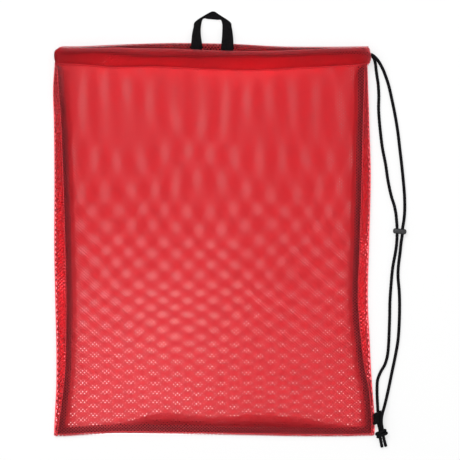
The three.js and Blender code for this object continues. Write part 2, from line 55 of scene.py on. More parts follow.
# Body of the bag
CLOTH = 1.2
GAP = 0.3
HEM_GAP = 0.6
BODY_BOTTOM = -248
BODY_TOP = 221
FLOOR_RADIUS = 7  # of the back net's bend from a side edge to the floor
SHOULDER = 5  # power of the front net's rise from its seams
HEM_BLEND = 66  # below the hem, the body takes on the hem's height over this stretch
BACK_LIFT = 28  # and the back net's floor over this one
FOLD_FADE = 24  # power with which folds fade towards the bottom seam and the hem
TAPE_WIDTH = 9
TAPE_THICKNESS = 1.0
TAPE_DROP = 0.8
TAPE_RIB = 0.05
TAPE_ROWS = 860
TAPE_ENDS = (0.012, 0.998)  # shares of the front net's height
BOTTOM_TAPE_ROWS = 800
BOTTOM_TAPE_SHORT = 1.5  # distance from the side seams
BOTTOM_RIM = 1.5  # net that stands out below the bottom tape
TAPE_SHARE = 10 / 380  # a tape's width as a share of the front net's

# Hem round the mouth
BACK_HEM_LEVEL = 3.5
TURN_RADIUS = 7.6
MOUTH_LEFT = -190.5
MOUTH_RIGHT = 201.5
CORNER_ROUND = 4
HEM_HEIGHT = 22
HEM_INSET = 0.35  # the hem's yarn lies this far inside the solid's outline
HEM_COLUMNS = 26
HEM_LENGTH = 808
HEM_ROUND = 52

# Net
NET_PERIOD = {"across": 4.4, "along": 3.8}  # distance between neighbouring holes
FRONT_STRAND = {"least": 1.47, "most": 1.66}
BACK_STRAND = {"least": 2.38, "most": 2.66}
HEM_STRAND = 1.95
MOUTH_STRAND = 0.6  # MOUTH_STRAND = 0.6 # where one looks down into the mouth past the front lip, so the painted shadow below shows
MOUTH_DEPTH = 4.5  # the back hem lies at least this far below the middle of the front one
MOUTH_SHADE = {"start": -6, "full": -3, "fade": 2.5, "end": 7.0}  # distances past the front lip
# Strands that lie flat along the folds of the net and smooth their outlines
SIDE_RIM = 1.8
LIP_RIM = 1.2
STRAND_LIFTS = (0.04, -0.08)  # by turns, so that each strand goes over every second one that it crosses
STRAND_STRAY = 0.07  # how far strands stray to their sides
STRAND_DEPTH = 0.2
STRAND_STEP = 5.6
HEM_STRAND_STEP = 2.6
NET_MARGIN = 40  # strands start this far outside the net and are cut at its border
FRONT_REACH = ((-205, -255), (210, 228))
BACK_REACH = ((-235, -255), (240, 228))
# Strands grow thicker from the first number to the second, going up, right and out to the left edge.
THICKER = {"up": (-160, 60), "right": (-90, 110), "left_edge": (-170, -190)}
THICKER_UP = 0.7

# Cord, webbing and bead
CORD_RADIUS = 2.05
CORD_SIDES = 16
CORD_STEP = 0.5
BRAID_STRANDS = 4
BRAID_PITCH = 4.2
BRAID_DEPTH = 0.13
BRAID_LEVEL = 0.6  # the relief, from -1 to 1, that lies at the cord's radius
CORD_END = (1.04, 1.0, 0.8)  # thickness of the last steps of a cut end
CURVE_STEPS = 24
WEBBING = 1.5
LOOP_LEVEL = 7.4
LOOP_FLOOR = 0.3
LOOP_FALL = (249, 292)  # from this y to that one, the loop comes down to the floor
LOOP = {"rows": 260, "columns": 33, "edge": 6, "rib": 0.07, "ribs": 9}
TAB = {"left": 208.5, "right": 216.6, "bottom": -234.8, "top": -220, "height": 6.8, "wall": 1.2,
       "lean": 0.45, "rib": 0.06, "rows": 26, "bend": 20}
TAB_FLOOR = 0.1
TAB_SEWN = 2.4  # length of the tab that is sewn into the seam
SLIDER = {"x": 240.1, "y": 12.4, "z": 3.6, "width": 17.4, "height": 7, "length": 7, "tilt": -5,
          "rounding": 2.8, "straight": 6, "sides": 72, "rows": 8, "sharp": 38}
SLIDER_HOLE = {"radius": 2.25, "spacing": 6.8, "sides": 40}
STITCH = {"length": 2.7, "pause": 0.7, "radius": 0.42, "rise": 2.2, "dip": 0.7, "thin": 0.55,
          "steps": 7, "sides": 6}
SEAM_STITCH_END = 4  # rows of the side seams that have no stitches, next to the hem

# Camera: straight above, at the photo's scale
PHOTO_PIXELS = 460
PIXEL = 1.28  # size of one of the photo's pixels on the bag
PHOTO_CENTRE = (23.04, 14.08)
LENS = 240
SENSOR = 36


def table(columns, rows):
    """Columns of numbers by name."""
    return dict(zip(columns.split(), np.array(rows, float).T))


# The body across its width, a row for each section from the bottom seam to the hem.
SECTIONS = table("y left_edge left_seam right_seam right_edge left_rise right_rise crown", [
    [-248, -202.3, -200.0, 205.4, 207.9, 4.2, 4.2, 4.2],
    [-233, -201.7, -197.4, 205.6, 208.2, 5.4, 5.2, 9.0],
    [-216, -200.8, -194.8, 204.6, 207.4, 6.6, 6.0, 12.4],
    [-189, -199.4, -191.4, 202.0, 205.2, 7.8, 7.0, 15.0],
    [-163, -199.0, -188.9, 196.5, 203.4, 8.4, 7.8, 16.4],
    [-127, -199.3, -188.0, 192.0, 201.7, 8.8, 8.4, 17.4],
    [-75, -200.6, -187.5, 187.9, 199.4, 9.0, 8.8, 17.8],
    [-11, -201.8, -188.8, 190.0, 200.8, 9.2, 9.0, 17.8],
    [78, -201.6, -191.4, 192.8, 203.0, 9.8, 9.4, 17.8],
    [150, -202.2, -194.2, 194.4, 201.2, 10.8, 10.0, 18.0],
    [190, -203.2, -197.0, 195.6, 199.8, 11.8, 10.8, 18.4],
    [221, -201.2, -198.0, 195.6, 198.8, 12.4, 11.6, 18.6],
])
BOTTOM_EDGE = table("x y", [
    [-203, -248.8], [-187, -248.8], [-136, -245.8], [-111, -245.2],
    [42, -247.7], [113, -249.0], [170, -249.0], [208, -248.2],
])
FRONT_HEM = table("x level lip stitch cord", [
    [-190.5, 18.7, 246.0, 225.0, 238.0],
    [-171, 18.7, 245.2, 224.2, 239.6],
    [-149, 18.75, 245.6, 222.2, 240.6],
    [-125, 18.8, 246.0, 220.0, 239.2],
    [-104, 18.8, 245.4, 220.3, 237.2],
    [-72, 18.8, 245.1, 220.8, 235.4],
    [-36, 18.6, 244.2, 219.4, 235.2],
    [0, 18.2, 242.6, 217.6, 235.0],
    [49, 17.2, 241.7, 216.3, 236.0],
    [75, 16.1, 241.9, 217.4, 236.0],
    [100, 15.0, 242.9, 218.9, 236.4],
    [138, 13.4, 244.8, 221.0, 238.6],
    [183, 11.4, 246.4, 223.6, 240.0],
    [201.5, 10.9, 246.8, 226.3, 238.4],
])
BACK_HEM = table("x lip stitch cord", [
    [-190.5, 248.6, 225, 238.0],
    [-168, 248.7, 224, 243.6],
    [-130, 250.4, 224, 246.6],
    [-79, 252.2, 224, 247.4],
    [-41, 252.8, 224, 246.6],
    [0, 252.3, 224, 245.0],
    [31, 251.5, 224, 244.4],
    [75, 249.0, 224, 244.2],
    [100, 248.2, 224, 244.6],
    [151, 248.1, 224, 244.2],
    [201.5, 248.6, 225, 237.4],
])
HEM_SECTION = table("place half", [
    [0, 1.2], [0.3, 2.9], [0.45, 3.5], [0.82, 3.5], [0.93, 2.6], [0.985, 1.25],
])
# The hem's open end is cut on a slant.
HEM_CUT = table("place shift", [[0, -1.2], [0.3, 1.2], [0.6, 1.0], [1, -1.6]])
HEM_CUT_LENGTH = 12
LIP_EDGE = 0.4  # the lip's yarn stands out past its line

# Soft folds raised in the front cloth, a row for each ridge from one end to the other.
FOLDS = table("x0 y0 x1 y1 width height", [
    [-150, 214, -160, 150, 12, 1.8],
    [-118, 214, -121, 118, 12, 1.9],
    [-86, 214, -90, 128, 12, 1.7],
    [-56, 214, -55, 122, 12, 1.4],
    [-18, 214, -12, 160, 13, 1.1],
    [66, 212, 74, 160, 14, 1.0],
    [176, 214, 150, 150, 13, 1.6],
    [30, -216, 190, -172, 13, 1.8],
    [20, -196, 160, -142, 14, 1.3],
    [-176, -176, -96, -218, 14, 1.3],
])
WAVE = 0.35
PUCKER = {"height": 0.45, "below": 26, "above": 2}  # by the hem's stitches
# Where the bag was once folded
CREASE = {"y": 0.6, "width": 1.7, "height": 0.5, "left": -165, "right": 110, "fade": 20}
# How much wider apart the back net's holes are than the front's: across, and along by depth below the hem.
# The two nets seen through each other make the bag's soft pattern of pale spots.
SLACK_ACROSS = 0.15
WANDER = {"broad": 0.45, "fine": 0.2}  # how far the back net's strands wander from even rows
SLACK_ROUNDS = 4  # in which the slack places settle
SLACK_ALONG = table("depth along", [
    [0, 0.022],
    [92, 0.029],
    [169, 0.073],
    [220, 0.116],
    [278, 0.165],
    [348, 0.239],
    [399, 0.297],
    [475, 0.352],
])

# Outline of the hang loop, from its left foot over the peak to its right foot.
LOOP_OUTLINE = table("outer_x outer_y inner_x inner_y", [
    [-28.0, 230.0, -12.2, 230.0],
    [-27.4, 244.5, -12.4, 244.5],
    [-26.6, 252.6, -12.8, 253.2],
    [-25.6, 263.7, -14.1, 263.0],
    [-23.7, 273.3, -14.1, 273.9],
    [-21.1, 281.0, -11.5, 284.0],
    [-5.1, 291.4, -4.5, 283.9],
    [2.2, 293.8, 1.9, 283.4],
    [9.0, 290.0, 7.0, 282.9],
    [23.0, 280.4, 11.5, 282.4],
    [25.2, 273.9, 13.2, 275.2],
    [26.9, 262.6, 12.8, 262.4],
    [27.5, 252.2, 12.0, 252.2],
    [27.6, 243.8, 11.5, 243.8],
    [27.8, 230.0, 11.4, 230.0],
])

# Route of each free stretch of the cord, from the hem to the knot.
OUTER_RUN = [
    [202.8, 238.4, 10.9], [206.0, 236.6, 10.2], [211.7, 231.0, 8.2], [217.9, 220.8, 5.4],
    [222.1, 210.6, 3.8], [225.6, 200.3, 2.7], [230.4, 179.8, 2.0], [234.5, 159.4, 2.0],
    [237.8, 138.9, 2.0], [240.2, 118.4, 2.0], [242.6, 97.9, 2.0], [244.7, 77.4, 2.0],
    [246.3, 57.0, 2.0], [246.5, 38.0, 2.0], [245.4, 26.2, 2.8], [243.7, 15.9, 3.6],
    [243.4, 8.9, 3.6], [241.8, -3.0, 2.8], [240.6, -14.7, 2.0], [238.4, -33.0, 2.0],
    [238.0, -46.0, 2.0], [239.5, -64.0, 2.0], [240.0, -82.0, 2.0], [239.4, -106.9, 2.0],
    [237.9, -127.4, 2.0], [234.4, -147.8, 2.0], [230.1, -168.3, 2.0], [225.9, -188.8, 2.2],
    [222.6, -203.0, 3.8], [219.9, -213.0, 6.4], [217.7, -220.5, 8.2], [216.5, -227.0, 8.7],
    [216.5, -233.0, 8.5], [217.2, -237.0, 7.4], [217.9, -240.6, 6.0],
]
INNER_RUN = [
    [202.9, 237.2, 3.5], [205.4, 235.8, 3.4], [207.6, 232.4, 3.2], [209.0, 227.0, 2.8],
    [209.8, 220.0, 2.4], [211.1, 210.6, 2.0], [212.6, 200.3, 2.0], [213.4, 186.0, 2.0],
    [213.1, 170.0, 2.0], [213.7, 158.0, 2.0], [215.5, 138.9, 2.0], [218.1, 118.4, 2.0],
    [222.1, 97.9, 2.0], [225.1, 77.4, 2.0], [229.5, 57.0, 2.0], [232.8, 46.7, 2.0],
    [235.0, 36.5, 2.2], [236.1, 26.2, 2.8], [236.7, 16.5, 3.6], [236.7, 8.3, 3.6],
    [236.1, -4.0, 2.8], [234.7, -14.7, 2.0], [231.2, -34.0, 2.0], [229.1, -55.7, 2.0],
    [227.6, -78.0, 2.0], [227.3, -96.6, 2.0], [226.6, -117.1, 2.0], [225.8, -134.0, 2.0],
    [224.2, -147.8, 2.0], [221.1, -158.1, 2.0], [215.5, -168.0, 2.0], [211.9, -177.6, 2.0],
    [211.1, -188.8, 2.0], [211.4, -203.0, 2.2], [211.9, -213.0, 3.0], [212.3, -220.0, 3.5],
    [212.6, -227.0, 3.5], [212.9, -234.0, 3.5], [213.8, -237.6, 3.5], [214.7, -241.1, 3.6],
]
# The cord's two ends, from where they go into the knot.
LEFT_TAIL = [[214.6, -240.6, 3.6], [214.9, -248.4, 4.4], [215.6, -254.2, 3.5], [216.4, -258.0, 2.6],
             [217.6, -264.0, 2.1]]
RIGHT_TAIL = [[217.9, -240.2, 6.1], [218.8, -247.4, 5.2], [219.8, -252.9, 3.8], [221.1, -257.9, 2.6],
              [222.6, -263.0, 2.1]]
# The knot's turn round the two cords: a slanting oval of two cords side by side.
KNOT_TURN = {"x": 216.7, "y": -246.2, "z": 4.9, "long": 6.1, "high": 2.7, "slant": 25, "apart": 3.8,
             "sway": 0.9, "tight": 0.1, "steps": 90}

# The layout's shift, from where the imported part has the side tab.
TAB_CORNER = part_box("side_tab")[0]
SHIFT = np.array([TAB_CORNER.x / MM - TAB["left"], TAB_CORNER.y / MM - TAB["bottom"], 0.0])


def to_frame(points):
    return (np.asarray(points, float) + SHIFT) * MM


def lerp(a, b, t):
    return a + (b - a) * t


def smoothstep(at, low, high):
    t = np.clip((at - low) / (high - low), 0, 1)
    return t * t * (3 - 2 * t)


def unit(vectors):
    return vectors / np.maximum(np.linalg.norm(vectors, axis=-1, keepdims=True), 1e-9)


def distance_along(line):
    """Each point's distance from the start of a line, measured along it."""
    return np.concatenate([[0], np.cumsum(np.linalg.norm(np.diff(line, axis=0), axis=1))])


def values_at(places, along, columns):
    """Columns of values along a line, read at other places along it."""
    return np.stack([np.interp(places, along, column) for column in columns.T], -1)


def circle(count):
    """Angles at even steps once round."""
    return np.linspace(0, 2 * math.pi, count, endpoint=False)


def hermite(start, end, leave, arrive, t):
    """Smooth curve from start to end that leaves and arrives with the given slopes."""
    swing = leave * t * (1 - t) ** 2 - arrive * t * t * (1 - t)
    return lerp(start, end, t * t * (3 - 2 * t)) + swing


def smooth_column(rows, key, column):
    """Smooth curve through a table: the column's value where the key column reads "at"."""
    keys, values = rows[key], rows[column]
    slopes = np.empty_like(values)
    slopes[1:-1] = (values[2:] - values[:-2]) / (keys[2:] - keys[:-2])
    slopes[0] = (values[1] - values[0]) / (keys[1] - keys[0])
    slopes[-1] = (values[-1] - values[-2]) / (keys[-1] - keys[-2])

    def curve(at):
        held = np.clip(at, keys[0], keys[-1])
        end = np.clip(np.searchsorted(keys, held), 1, len(keys) - 1)
        start = end - 1
        span = keys[end] - keys[start]
        t = (held - keys[start]) / span
        return hermite(values[start], values[end], span * slopes[start], span * slopes[end], t)

    return curve


def smooth_columns(rows, key):
    return {column: smooth_column(rows, key, column) for column in rows if column != key}


section = smooth_columns(SECTIONS, "y")
bottom_edge = smooth_column(BOTTOM_EDGE, "x", "y")
front_hem = smooth_columns(FRONT_HEM, "x")
back_hem = smooth_columns(BACK_HEM, "x")


def hem_level(x):
    """Height of the front hem's middle, also round its turn at the left end."""
    reach = np.clip(MOUTH_LEFT - x, 0, TURN_RADIUS)
    turned = BACK_HEM_LEVEL + TURN_RADIUS + np.sqrt(TURN_RADIUS ** 2 - reach ** 2)
    return np.where(x >= MOUTH_LEFT, front_hem["level"](x), turned)


def seams(level):
    return section["left_seam"](level), section["right_seam"](level)


def body_y(hem_lines, x, v):
    """Place at a share of the way up from the body's bottom edge to the front or back hem."""
    return lerp(bottom_edge(x), hem_lines["stitch"](x) - HEM_GAP, v)


def way_up(hem_lines, x, y):
    """The share of that way at a place."""
    return (y - bottom_edge(x)) / (hem_lines["stitch"](x) - HEM_GAP - bottom_edge(x))


def fold_height(x, y):
    total = np.zeros_like(x)
    for x0, y0, x1, y1, width, height in zip(*FOLDS.values()):
        run = np.array([x1 - x0, y1 - y0])
        t = np.clip(((x - x0) * run[0] + (y - y0) * run[1]) / (run @ run), 0, 1)
        far = np.hypot(x - x0 - t * run[0], y - y0 - t * run[1])
        total += height * np.exp(-((far / width) ** 2))
    return total


def ripple(x, y):
    """Slight waves of slack net, and the small puckers that the hem's stitches draw up."""
    waves = WAVE * np.sin(x / 23 + y / 61) * np.sin(y / 37 - x / 83 + 0.7)
    near_hem = smoothstep(y, BODY_TOP - PUCKER["below"], BODY_TOP + PUCKER["above"])
    pucker = PUCKER["height"] * np.sin(x / 1.9 + 1.2 * np.sin(x / 17)) * near_hem
    crease = CREASE["height"] * np.exp(-(((y - CREASE["y"]) / CREASE["width"]) ** 2))
    crease *= smoothstep(x, CREASE["left"] - CREASE["fade"], CREASE["left"])
    crease *= smoothstep(-x, -CREASE["right"] - CREASE["fade"], -CREASE["right"])
    return waves + pucker + crease


# Surfaces are grids of points, a row for each step along the bag and a column for each step across.
GRID_ROWS = 260
GRID_COLUMNS = 300
TUCK = 1.008  # the front net runs on a little under the hem
WRAP_ROWS = 6  # the front net turns down over the bottom seam in these rows
WRAP_LENGTH = 4.0
WRAP_OUT = 0.9
TURN_COLUMNS = 14  # points in a quarter turn of the back net's side
FLOOR_COLUMNS = 40


def front_grid():
    v, u = np.meshgrid(np.linspace(0, TUCK, GRID_ROWS), np.linspace(0, 1, GRID_COLUMNS), indexing="ij")
    level = lerp(BODY_BOTTOM, BODY_TOP, v)
    x = lerp(*seams(level), u)
    y = body_y(front_hem, x, v)
    rise = lerp(section["left_rise"](level), section["right_rise"](level), u)
    across = 1 - np.abs(2 * u - 1) ** SHOULDER
    fade = np.clip(across * (1 - np.abs(2 * v - 1) ** FOLD_FADE), 0, 1)
    loose = rise + (section["crown"](level) - rise) * across
    to_hem = smoothstep(level, BODY_TOP - HEM_BLEND, BODY_TOP)
    z = lerp(loose, hem_level(x) + CLOTH / 2, to_hem) + (fold_height(x, y) + ripple(x, y)) * fade
    body = np.stack([x, y, z - CLOTH / 2], axis=-1)
    turn = []
    for angle in np.linspace(0, math.pi / 2, WRAP_ROWS, endpoint=False):
        row = body[0].copy()
        row[:, 1] -= WRAP_OUT * math.cos(angle)
        row[:, 2] = lerp(CLOTH / 2, row[:, 2], math.sin(angle))
        turn.append(row)
    return np.concatenate([np.array(turn), body])


def back_grid():
    """The back net in rows from seam to seam, how far each row reaches to both sides of x = 0, and a line
    just inside the fold on each side."""
    rows, reaches, folds = [], [], {"left": [], "right": []}
    quarter = np.linspace(0, math.pi / 2, TURN_COLUMNS)
    for v in np.linspace(0, TUCK, GRID_ROWS):
        level = lerp(BODY_BOTTOM, BODY_TOP, v)
        floor = (BACK_HEM_LEVEL - CLOTH / 2) * smoothstep(level, BODY_TOP - BACK_LIFT, BODY_TOP) + CLOTH / 2
        to_hem = smoothstep(level, BODY_TOP - HEM_BLEND, BODY_TOP)
        sides = []
        for side, inward in INWARD.items():
            seam, edge = section[side + "_seam"](level), section[side + "_edge"](level)
            edge += inward * CLOTH / 2
            rise = lerp(section[side + "_rise"](level), hem_level(seam) + CLOTH / 2, to_hem) - CLOTH / 2
            middle = (rise + floor) / 2
            fold_y = body_y(back_hem, edge, v)
            folds[side].append((edge + inward * (SIDE_RIM - CLOTH) / 2, fold_y, middle))
            over = np.stack([lerp(seam, edge, np.sin(quarter)), lerp(middle, rise, np.cos(quarter))], -1)
            under_x = edge + inward * FLOOR_RADIUS * (1 - np.cos(quarter))
            under = np.stack([under_x, lerp(middle, floor, np.sin(quarter))], -1)
            sides.append(np.concatenate([over, under[1:]]))
        between = np.linspace(sides[0][-1, 0], sides[1][-1, 0], FLOOR_COLUMNS)[1:-1]
        flat = np.stack([between, np.full_like(between, floor)], -1)
        line = np.concatenate([sides[0], flat, sides[1][::-1]])
        along = distance_along(line)
        on_floor = slice(len(sides[0]), -len(sides[1]))
        start = np.interp(0, line[on_floor, 0], along[on_floor])
        places = np.linspace(0, along[-1], GRID_COLUMNS)
        x, z = values_at(places, along, line).T
        y = body_y(back_hem, x, v)
        rows.append(np.stack([x, y, z], -1))
        reaches.append((-start, along[-1] - start))
    return np.array(rows), np.array(reaches), folds


def hem_path(front_steps=160, turn_steps=24):
    """Stations along the hem, from the open end across the front, round the left end and back."""
    x = np.linspace(MOUTH_RIGHT, MOUTH_LEFT, front_steps)
    angle = np.linspace(0, math.pi, turn_steps + 2)[1:-1]
    back = x[::-1]
    sine, cosine = np.sin(angle), np.cos(angle)
    middle = BACK_HEM_LEVEL + TURN_RADIUS

    def column(name, dip=0):
        turned = lerp(front_hem[name](MOUTH_LEFT), back_hem[name](MOUTH_LEFT), angle / math.pi)
        return np.concatenate([front_hem[name](x), turned - dip, back_hem[name](back)])

    low = np.full_like(back, BACK_HEM_LEVEL)
    return {
        "x": np.concatenate([x, MOUTH_LEFT - TURN_RADIUS * sine, back]),
        "z": np.concatenate([front_hem["level"](x), middle + TURN_RADIUS * cosine, low]),
        "nx": np.concatenate([0 * x, -sine, 0 * back]),
        "nz": np.concatenate([0 * x + 1, cosine, 0 * back - 1]),
        "lip": column("lip", CORNER_ROUND * (1 - np.abs(cosine))),
        "stitch": column("stitch"),
        "cord": column("cord"),
    }


def hem_grid(path):
    """The hem's cloth: a row for each station, from the outer stitch line over the lip to the inner one.
    Its open end at the right is cut on a slant."""
    place = np.linspace(0, 1, HEM_COLUMNS)
    half = smooth_column(HEM_SECTION, "place", "half")(place)
    nose_place, nose_half = HEM_SECTION["place"][-1], HEM_SECTION["half"][-1]
    nose = nose_half * np.sqrt(np.clip((1 - place) / (1 - nose_place), 0, 1))
    half = np.where(place > nose_place, nose, half) - HEM_INSET
    ring_place = np.concatenate([place, place[::-1][1:]])
    ring_half = np.concatenate([half, -half[::-1][1:]])
    low = path["stitch"][:, None]
    high = path["lip"][:, None] + LIP_EDGE
    cut = smooth_column(HEM_CUT, "place", "shift")(ring_place)
    near_end = smoothstep(path["x"], MOUTH_RIGHT - HEM_CUT_LENGTH, MOUTH_RIGHT)[:, None]
    return np.stack([
        path["x"][:, None] + path["nx"][:, None] * ring_half + near_end * cut,
        lerp(low, high, ring_place),
        path["z"][:, None] + path["nz"][:, None] * ring_half,
    ], axis=-1)


def grid_normals(grid):
    across = np.gradient(grid, axis=1)
    along = np.gradient(grid, axis=0)
    return unit(np.cross(across, along))


def grid_at(grid, u, v):
    """Points of a grid at shares u of its columns and v of its rows."""
    row = np.clip(v, 0, 1) * (grid.shape[0] - 1)
    column = np.clip(u, 0, 1) * (grid.shape[1] - 1)
    low_row = np.minimum(row.astype(int), grid.shape[0] - 2)
    low_column = np.minimum(column.astype(int), grid.shape[1] - 2)
    s, t = (row - low_row)[:, None], (column - low_column)[:, None]
    near = lerp(grid[low_row, low_column], grid[low_row, low_column + 1], t)
    far = lerp(grid[low_row + 1, low_column], grid[low_row + 1, low_column + 1], t)
    return lerp(near, far, s)


def add_object(name, data):
    """A new object in the scene."""
    thing = bpy.data.objects.new(name, data)
    bpy.context.scene.collection.objects.link(thing)
    return thing


def mesh_object(name, points, triangles, material, spread=None):
    """A piece from points in layout millimetres. spread holds each point's place on the bake's picture."""
    mesh = bpy.data.meshes.new(name)
    mesh.from_pydata(to_frame(points), [], np.asarray(triangles, int))
    mesh.polygons.foreach_set("use_smooth", np.ones(len(mesh.polygons), bool))
    if spread is not None:
        corners = np.empty(len(mesh.loops), int)
        mesh.loops.foreach_get("vertex_index", corners)
        layer = mesh.uv_layers.new(name="OFBake")
        layer.data.foreach_set("uv", np.asarray(spread, np.float32)[corners].ravel())
    mesh.materials.append(material)
    mesh.update()
    piece = add_object(name, mesh)
    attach(piece, "root")
    return piece


def quads(a, b, c, d):
    """Two triangles for each four corners."""
    return np.concatenate([np.stack([a, b, c], -1), np.stack([a, c, d], -1)])


def walls(rows, columns, closed=False):
    """Triangles between each ring of points and the next. If closed, the last ring meets the first."""
    row, column = np.meshgrid(np.arange(rows if closed else rows - 1), np.arange(columns), indexing="ij")
    near, far = row * columns, (row + 1) % rows * columns
    turned = (column + 1) % columns
    corners = (near + column, near + turned, far + turned, far + column)
    return quads(*(corner.ravel() for corner in corners))


def bar(rows, columns, order=1):
    """Triangles of rings of points, with a fan over each end. Order -1 turns them inside out."""
    spokes = np.arange(1, columns - 1)
    fan = np.stack([0 * spokes, spokes, spokes + 1], -1)
    ends = [fan[:, ::-1], fan + (rows - 1) * columns]
    return np.concatenate([walls(rows, columns), *ends])[:, ::order]


def dress(piece, slot, *nodes):
    """Puts a piece in the place of solids, which it hides. Its slot argument is not used."""
    if nodes:
        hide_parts(*nodes)
    return piece


def inside_runs(u, v):
    """The stretches of a line that lie in the unit square, cut at its border."""
    room = np.minimum(np.minimum(u, 1 - u), np.minimum(v, 1 - v))
    inside = np.concatenate([[False], room >= 0, [False]])
    starts = np.flatnonzero(~inside[:-1] & inside[1:])
    ends = np.flatnonzero(inside[:-1] & ~inside[1:])
    line = np.stack([u, v], -1)
    for start, end in zip(starts, ends):
        run = [line[start:end]]
        if start > 0:
            t = room[start - 1] / (room[start - 1] - room[start])
            run.insert(0, lerp(line[start - 1], line[start], t)[None])
        if end < len(line):
            t = room[end - 1] / (room[end - 1] - room[end])
            run.append(lerp(line[end - 1], line[end], t)[None])
        yield np.concatenate(run)


class Strands:
    """Gathers fine three-sided strands into one mesh."""

    def __init__(self):
        self.points, self.triangles, self.spread, self.count = [], [], [], 0

    def add(self, centre, normal, spread, width):
        tangent = unit(np.gradient(centre, axis=0))
        side = unit(np.cross(tangent, normal)) * width / 2
        up = normal * STRAND_DEPTH
        rings = np.stack([centre + side + up / 3, centre - side + up / 3, centre - up * 2 / 3], axis=1)
        self.triangles.append(self.count + bar(len(centre), 3, order=-1))
        self.points.append(rings.reshape(-1, 3))
        self.spread.append(np.repeat(spread, 3, axis=0))
        self.count += 3 * len(centre)

    def piece(self, name, material):
        return mesh_object(name, np.concatenate(self.points), np.concatenate(self.triangles), material,
                           np.concatenate(self.spread))


def body_width(strand):
    """Makes the function that gives strands their width. They are thinnest at the lower left, where the
    most white shows through both nets."""
    def width(points):
        x, y = points[:, :1], points[:, 1:2]
        up = THICKER_UP * smoothstep(y, *THICKER["up"])
        right = smoothstep(x, *THICKER["right"])
        left_edge = smoothstep(x, *THICKER["left_edge"])
        return lerp(strand["least"], strand["most"], np.maximum.reduce([up, right, left_edge]))

    return width


def hem_width(points):
    """Strands of the back hem are thin next to the front lip, so that the painted shadow on the floor under
    them darkens the mouth.
    """
    x, y, z = points.T
    past_lip = y - front_hem["lip"](x)
    thin = smoothstep(past_lip, MOUTH_SHADE["start"], MOUTH_SHADE["full"])
    thin *= 1 - smoothstep(past_lip, MOUTH_SHADE["fade"], MOUTH_SHADE["end"])
    thin *= z < hem_level(x) - MOUTH_DEPTH
    return lerp(HEM_STRAND, MOUTH_STRAND, thin)[:, None]


def rim(line, normal, column, width):
    """What Strands.add needs for a rim: its line, normals, places on the bake's picture and width."""
    share = np.linspace(0, 1, len(line))
    spread = np.stack([np.full_like(share, column), share], -1)
    return np.asarray(line, float), np.broadcast_to(normal, (len(line), 3)), spread, width


def net(name, grid, reach, to_share, width, rims=(), step=STRAND_STEP):
    """Net over a grid, as one piece. Strands run slantwise both ways between two corners, and to_share
    turns their places into shares of the grid's columns and rows."""
    low, high = reach
    strands = Strands()
    normals = grid_normals(grid)
    chance = np.random.default_rng(len(name))
    period = NET_PERIOD["across"]
    along = np.arange(low[1] - NET_MARGIN, high[1] + NET_MARGIN, step)
    aside = (along - along[0]) * period / NET_PERIOD["along"]
    for lean in (1, -1):
        first = low[0] - NET_MARGIN - (aside[-1] if lean > 0 else 0)
        last = high[0] + NET_MARGIN + (aside[-1] if lean < 0 else 0)
        for place in range(math.floor(first / period), math.ceil(last / period)):
            column, row = to_share(place * period + lean * aside, along)
            lift = lean * STRAND_LIFTS[place % 2]
            for run in inside_runs(column, row):
                if len(run) < 2:
                    continue
                centre = grid_at(grid, run[:, 0], run[:, 1])
                normal = unit(grid_at(normals, run[:, 0], run[:, 1]))
                sideways = unit(np.cross(np.gradient(centre, axis=0), normal))
                stray = chance.normal(size=(len(run), 1)) * STRAND_STRAY
                centre = centre + normal * lift + sideways * stray
                strands.add(centre, normal, run, width(centre))
    for line in rims:
        strands.add(*line)
    return strands.piece(name, NET_RED)


def front_share(x, y):
    """Shares of the front grid below a place seen from above."""
    v = way_up(front_hem, x, y)
    level = lerp(BODY_BOTTOM, BODY_TOP, np.clip(v, 0, TUCK))
    left, right = seams(level)
    body_height = BODY_TOP - BODY_BOTTOM
    body_share = WRAP_ROWS + v / TUCK * (GRID_ROWS - 1)
    wrap_share = WRAP_ROWS + v * body_height / WRAP_LENGTH * WRAP_ROWS
    row = np.where(v >= 0, body_share, wrap_share)
    return (x - left) / (right - left), row / (GRID_ROWS + WRAP_ROWS - 1)


def back_share(reaches):
    """Makes the function that gives shares of the back grid, with the net's slack drawn in."""
    depth, along = SLACK_ALONG["depth"], SLACK_ALONG["along"]
    steps = np.diff(depth) * (along[1:] + along[:-1]) / 2
    total = np.concatenate([[0], np.cumsum(steps)])

    def slack(x, y):
        wander_x = WANDER["broad"] * np.sin(x / 31 + 1.3) * np.sin(y / 43 + 0.4)
        wander_x += WANDER["fine"] * np.sin(x / 17 - y / 23)
        wander_y = WANDER["broad"] * np.sin(x / 37 + 2.1) * np.sin(y / 29 + 1.9)
        wander_y += WANDER["fine"] * np.sin(x / 21 + y / 19 + 0.6)
        return SLACK_ACROSS * x + wander_x, wander_y - np.interp(BODY_TOP - y, depth, total)

    def share(lattice_x, lattice_y):
        x, y = lattice_x, lattice_y
        for _ in range(SLACK_ROUNDS):
            slack_x, slack_y = slack(x, y)
            x, y = lattice_x + slack_x, lattice_y + slack_y
        v = way_up(back_hem, x, y) / TUCK
        row = np.clip(v, 0, 1) * (len(reaches) - 1)
        left, right = values_at(row, np.arange(len(reaches)), reaches).T
        return (x - left) / (right - left), v

    return share


def smooth_route(route, step):
    """Points at even steps along a smooth curve through a route, a centripetal Catmull-Rom spline."""
    points = np.asarray(route, float)
    points = np.concatenate([[2 * points[0] - points[1]], points, [2 * points[-1] - points[-2]]])
    curve = []
    for i in range(1, len(points) - 2):
        before, start, end, after = points[i - 1:i + 3]
        a, b, c = np.sqrt(np.linalg.norm(np.diff(points[i - 1:i + 3], axis=0), axis=1))
        leave = b * ((start - before) / a - (end - before) / (a + b) + (end - start) / b)
        arrive = b * ((end - start) / b - (after - start) / (b + c) + (after - end) / c)
        t = np.linspace(0, 1, CURVE_STEPS, endpoint=i == len(points) - 3)[:, None]
        curve.append(hermite(start, end, leave, arrive, t))
    return even_steps(np.concatenate(curve), step)


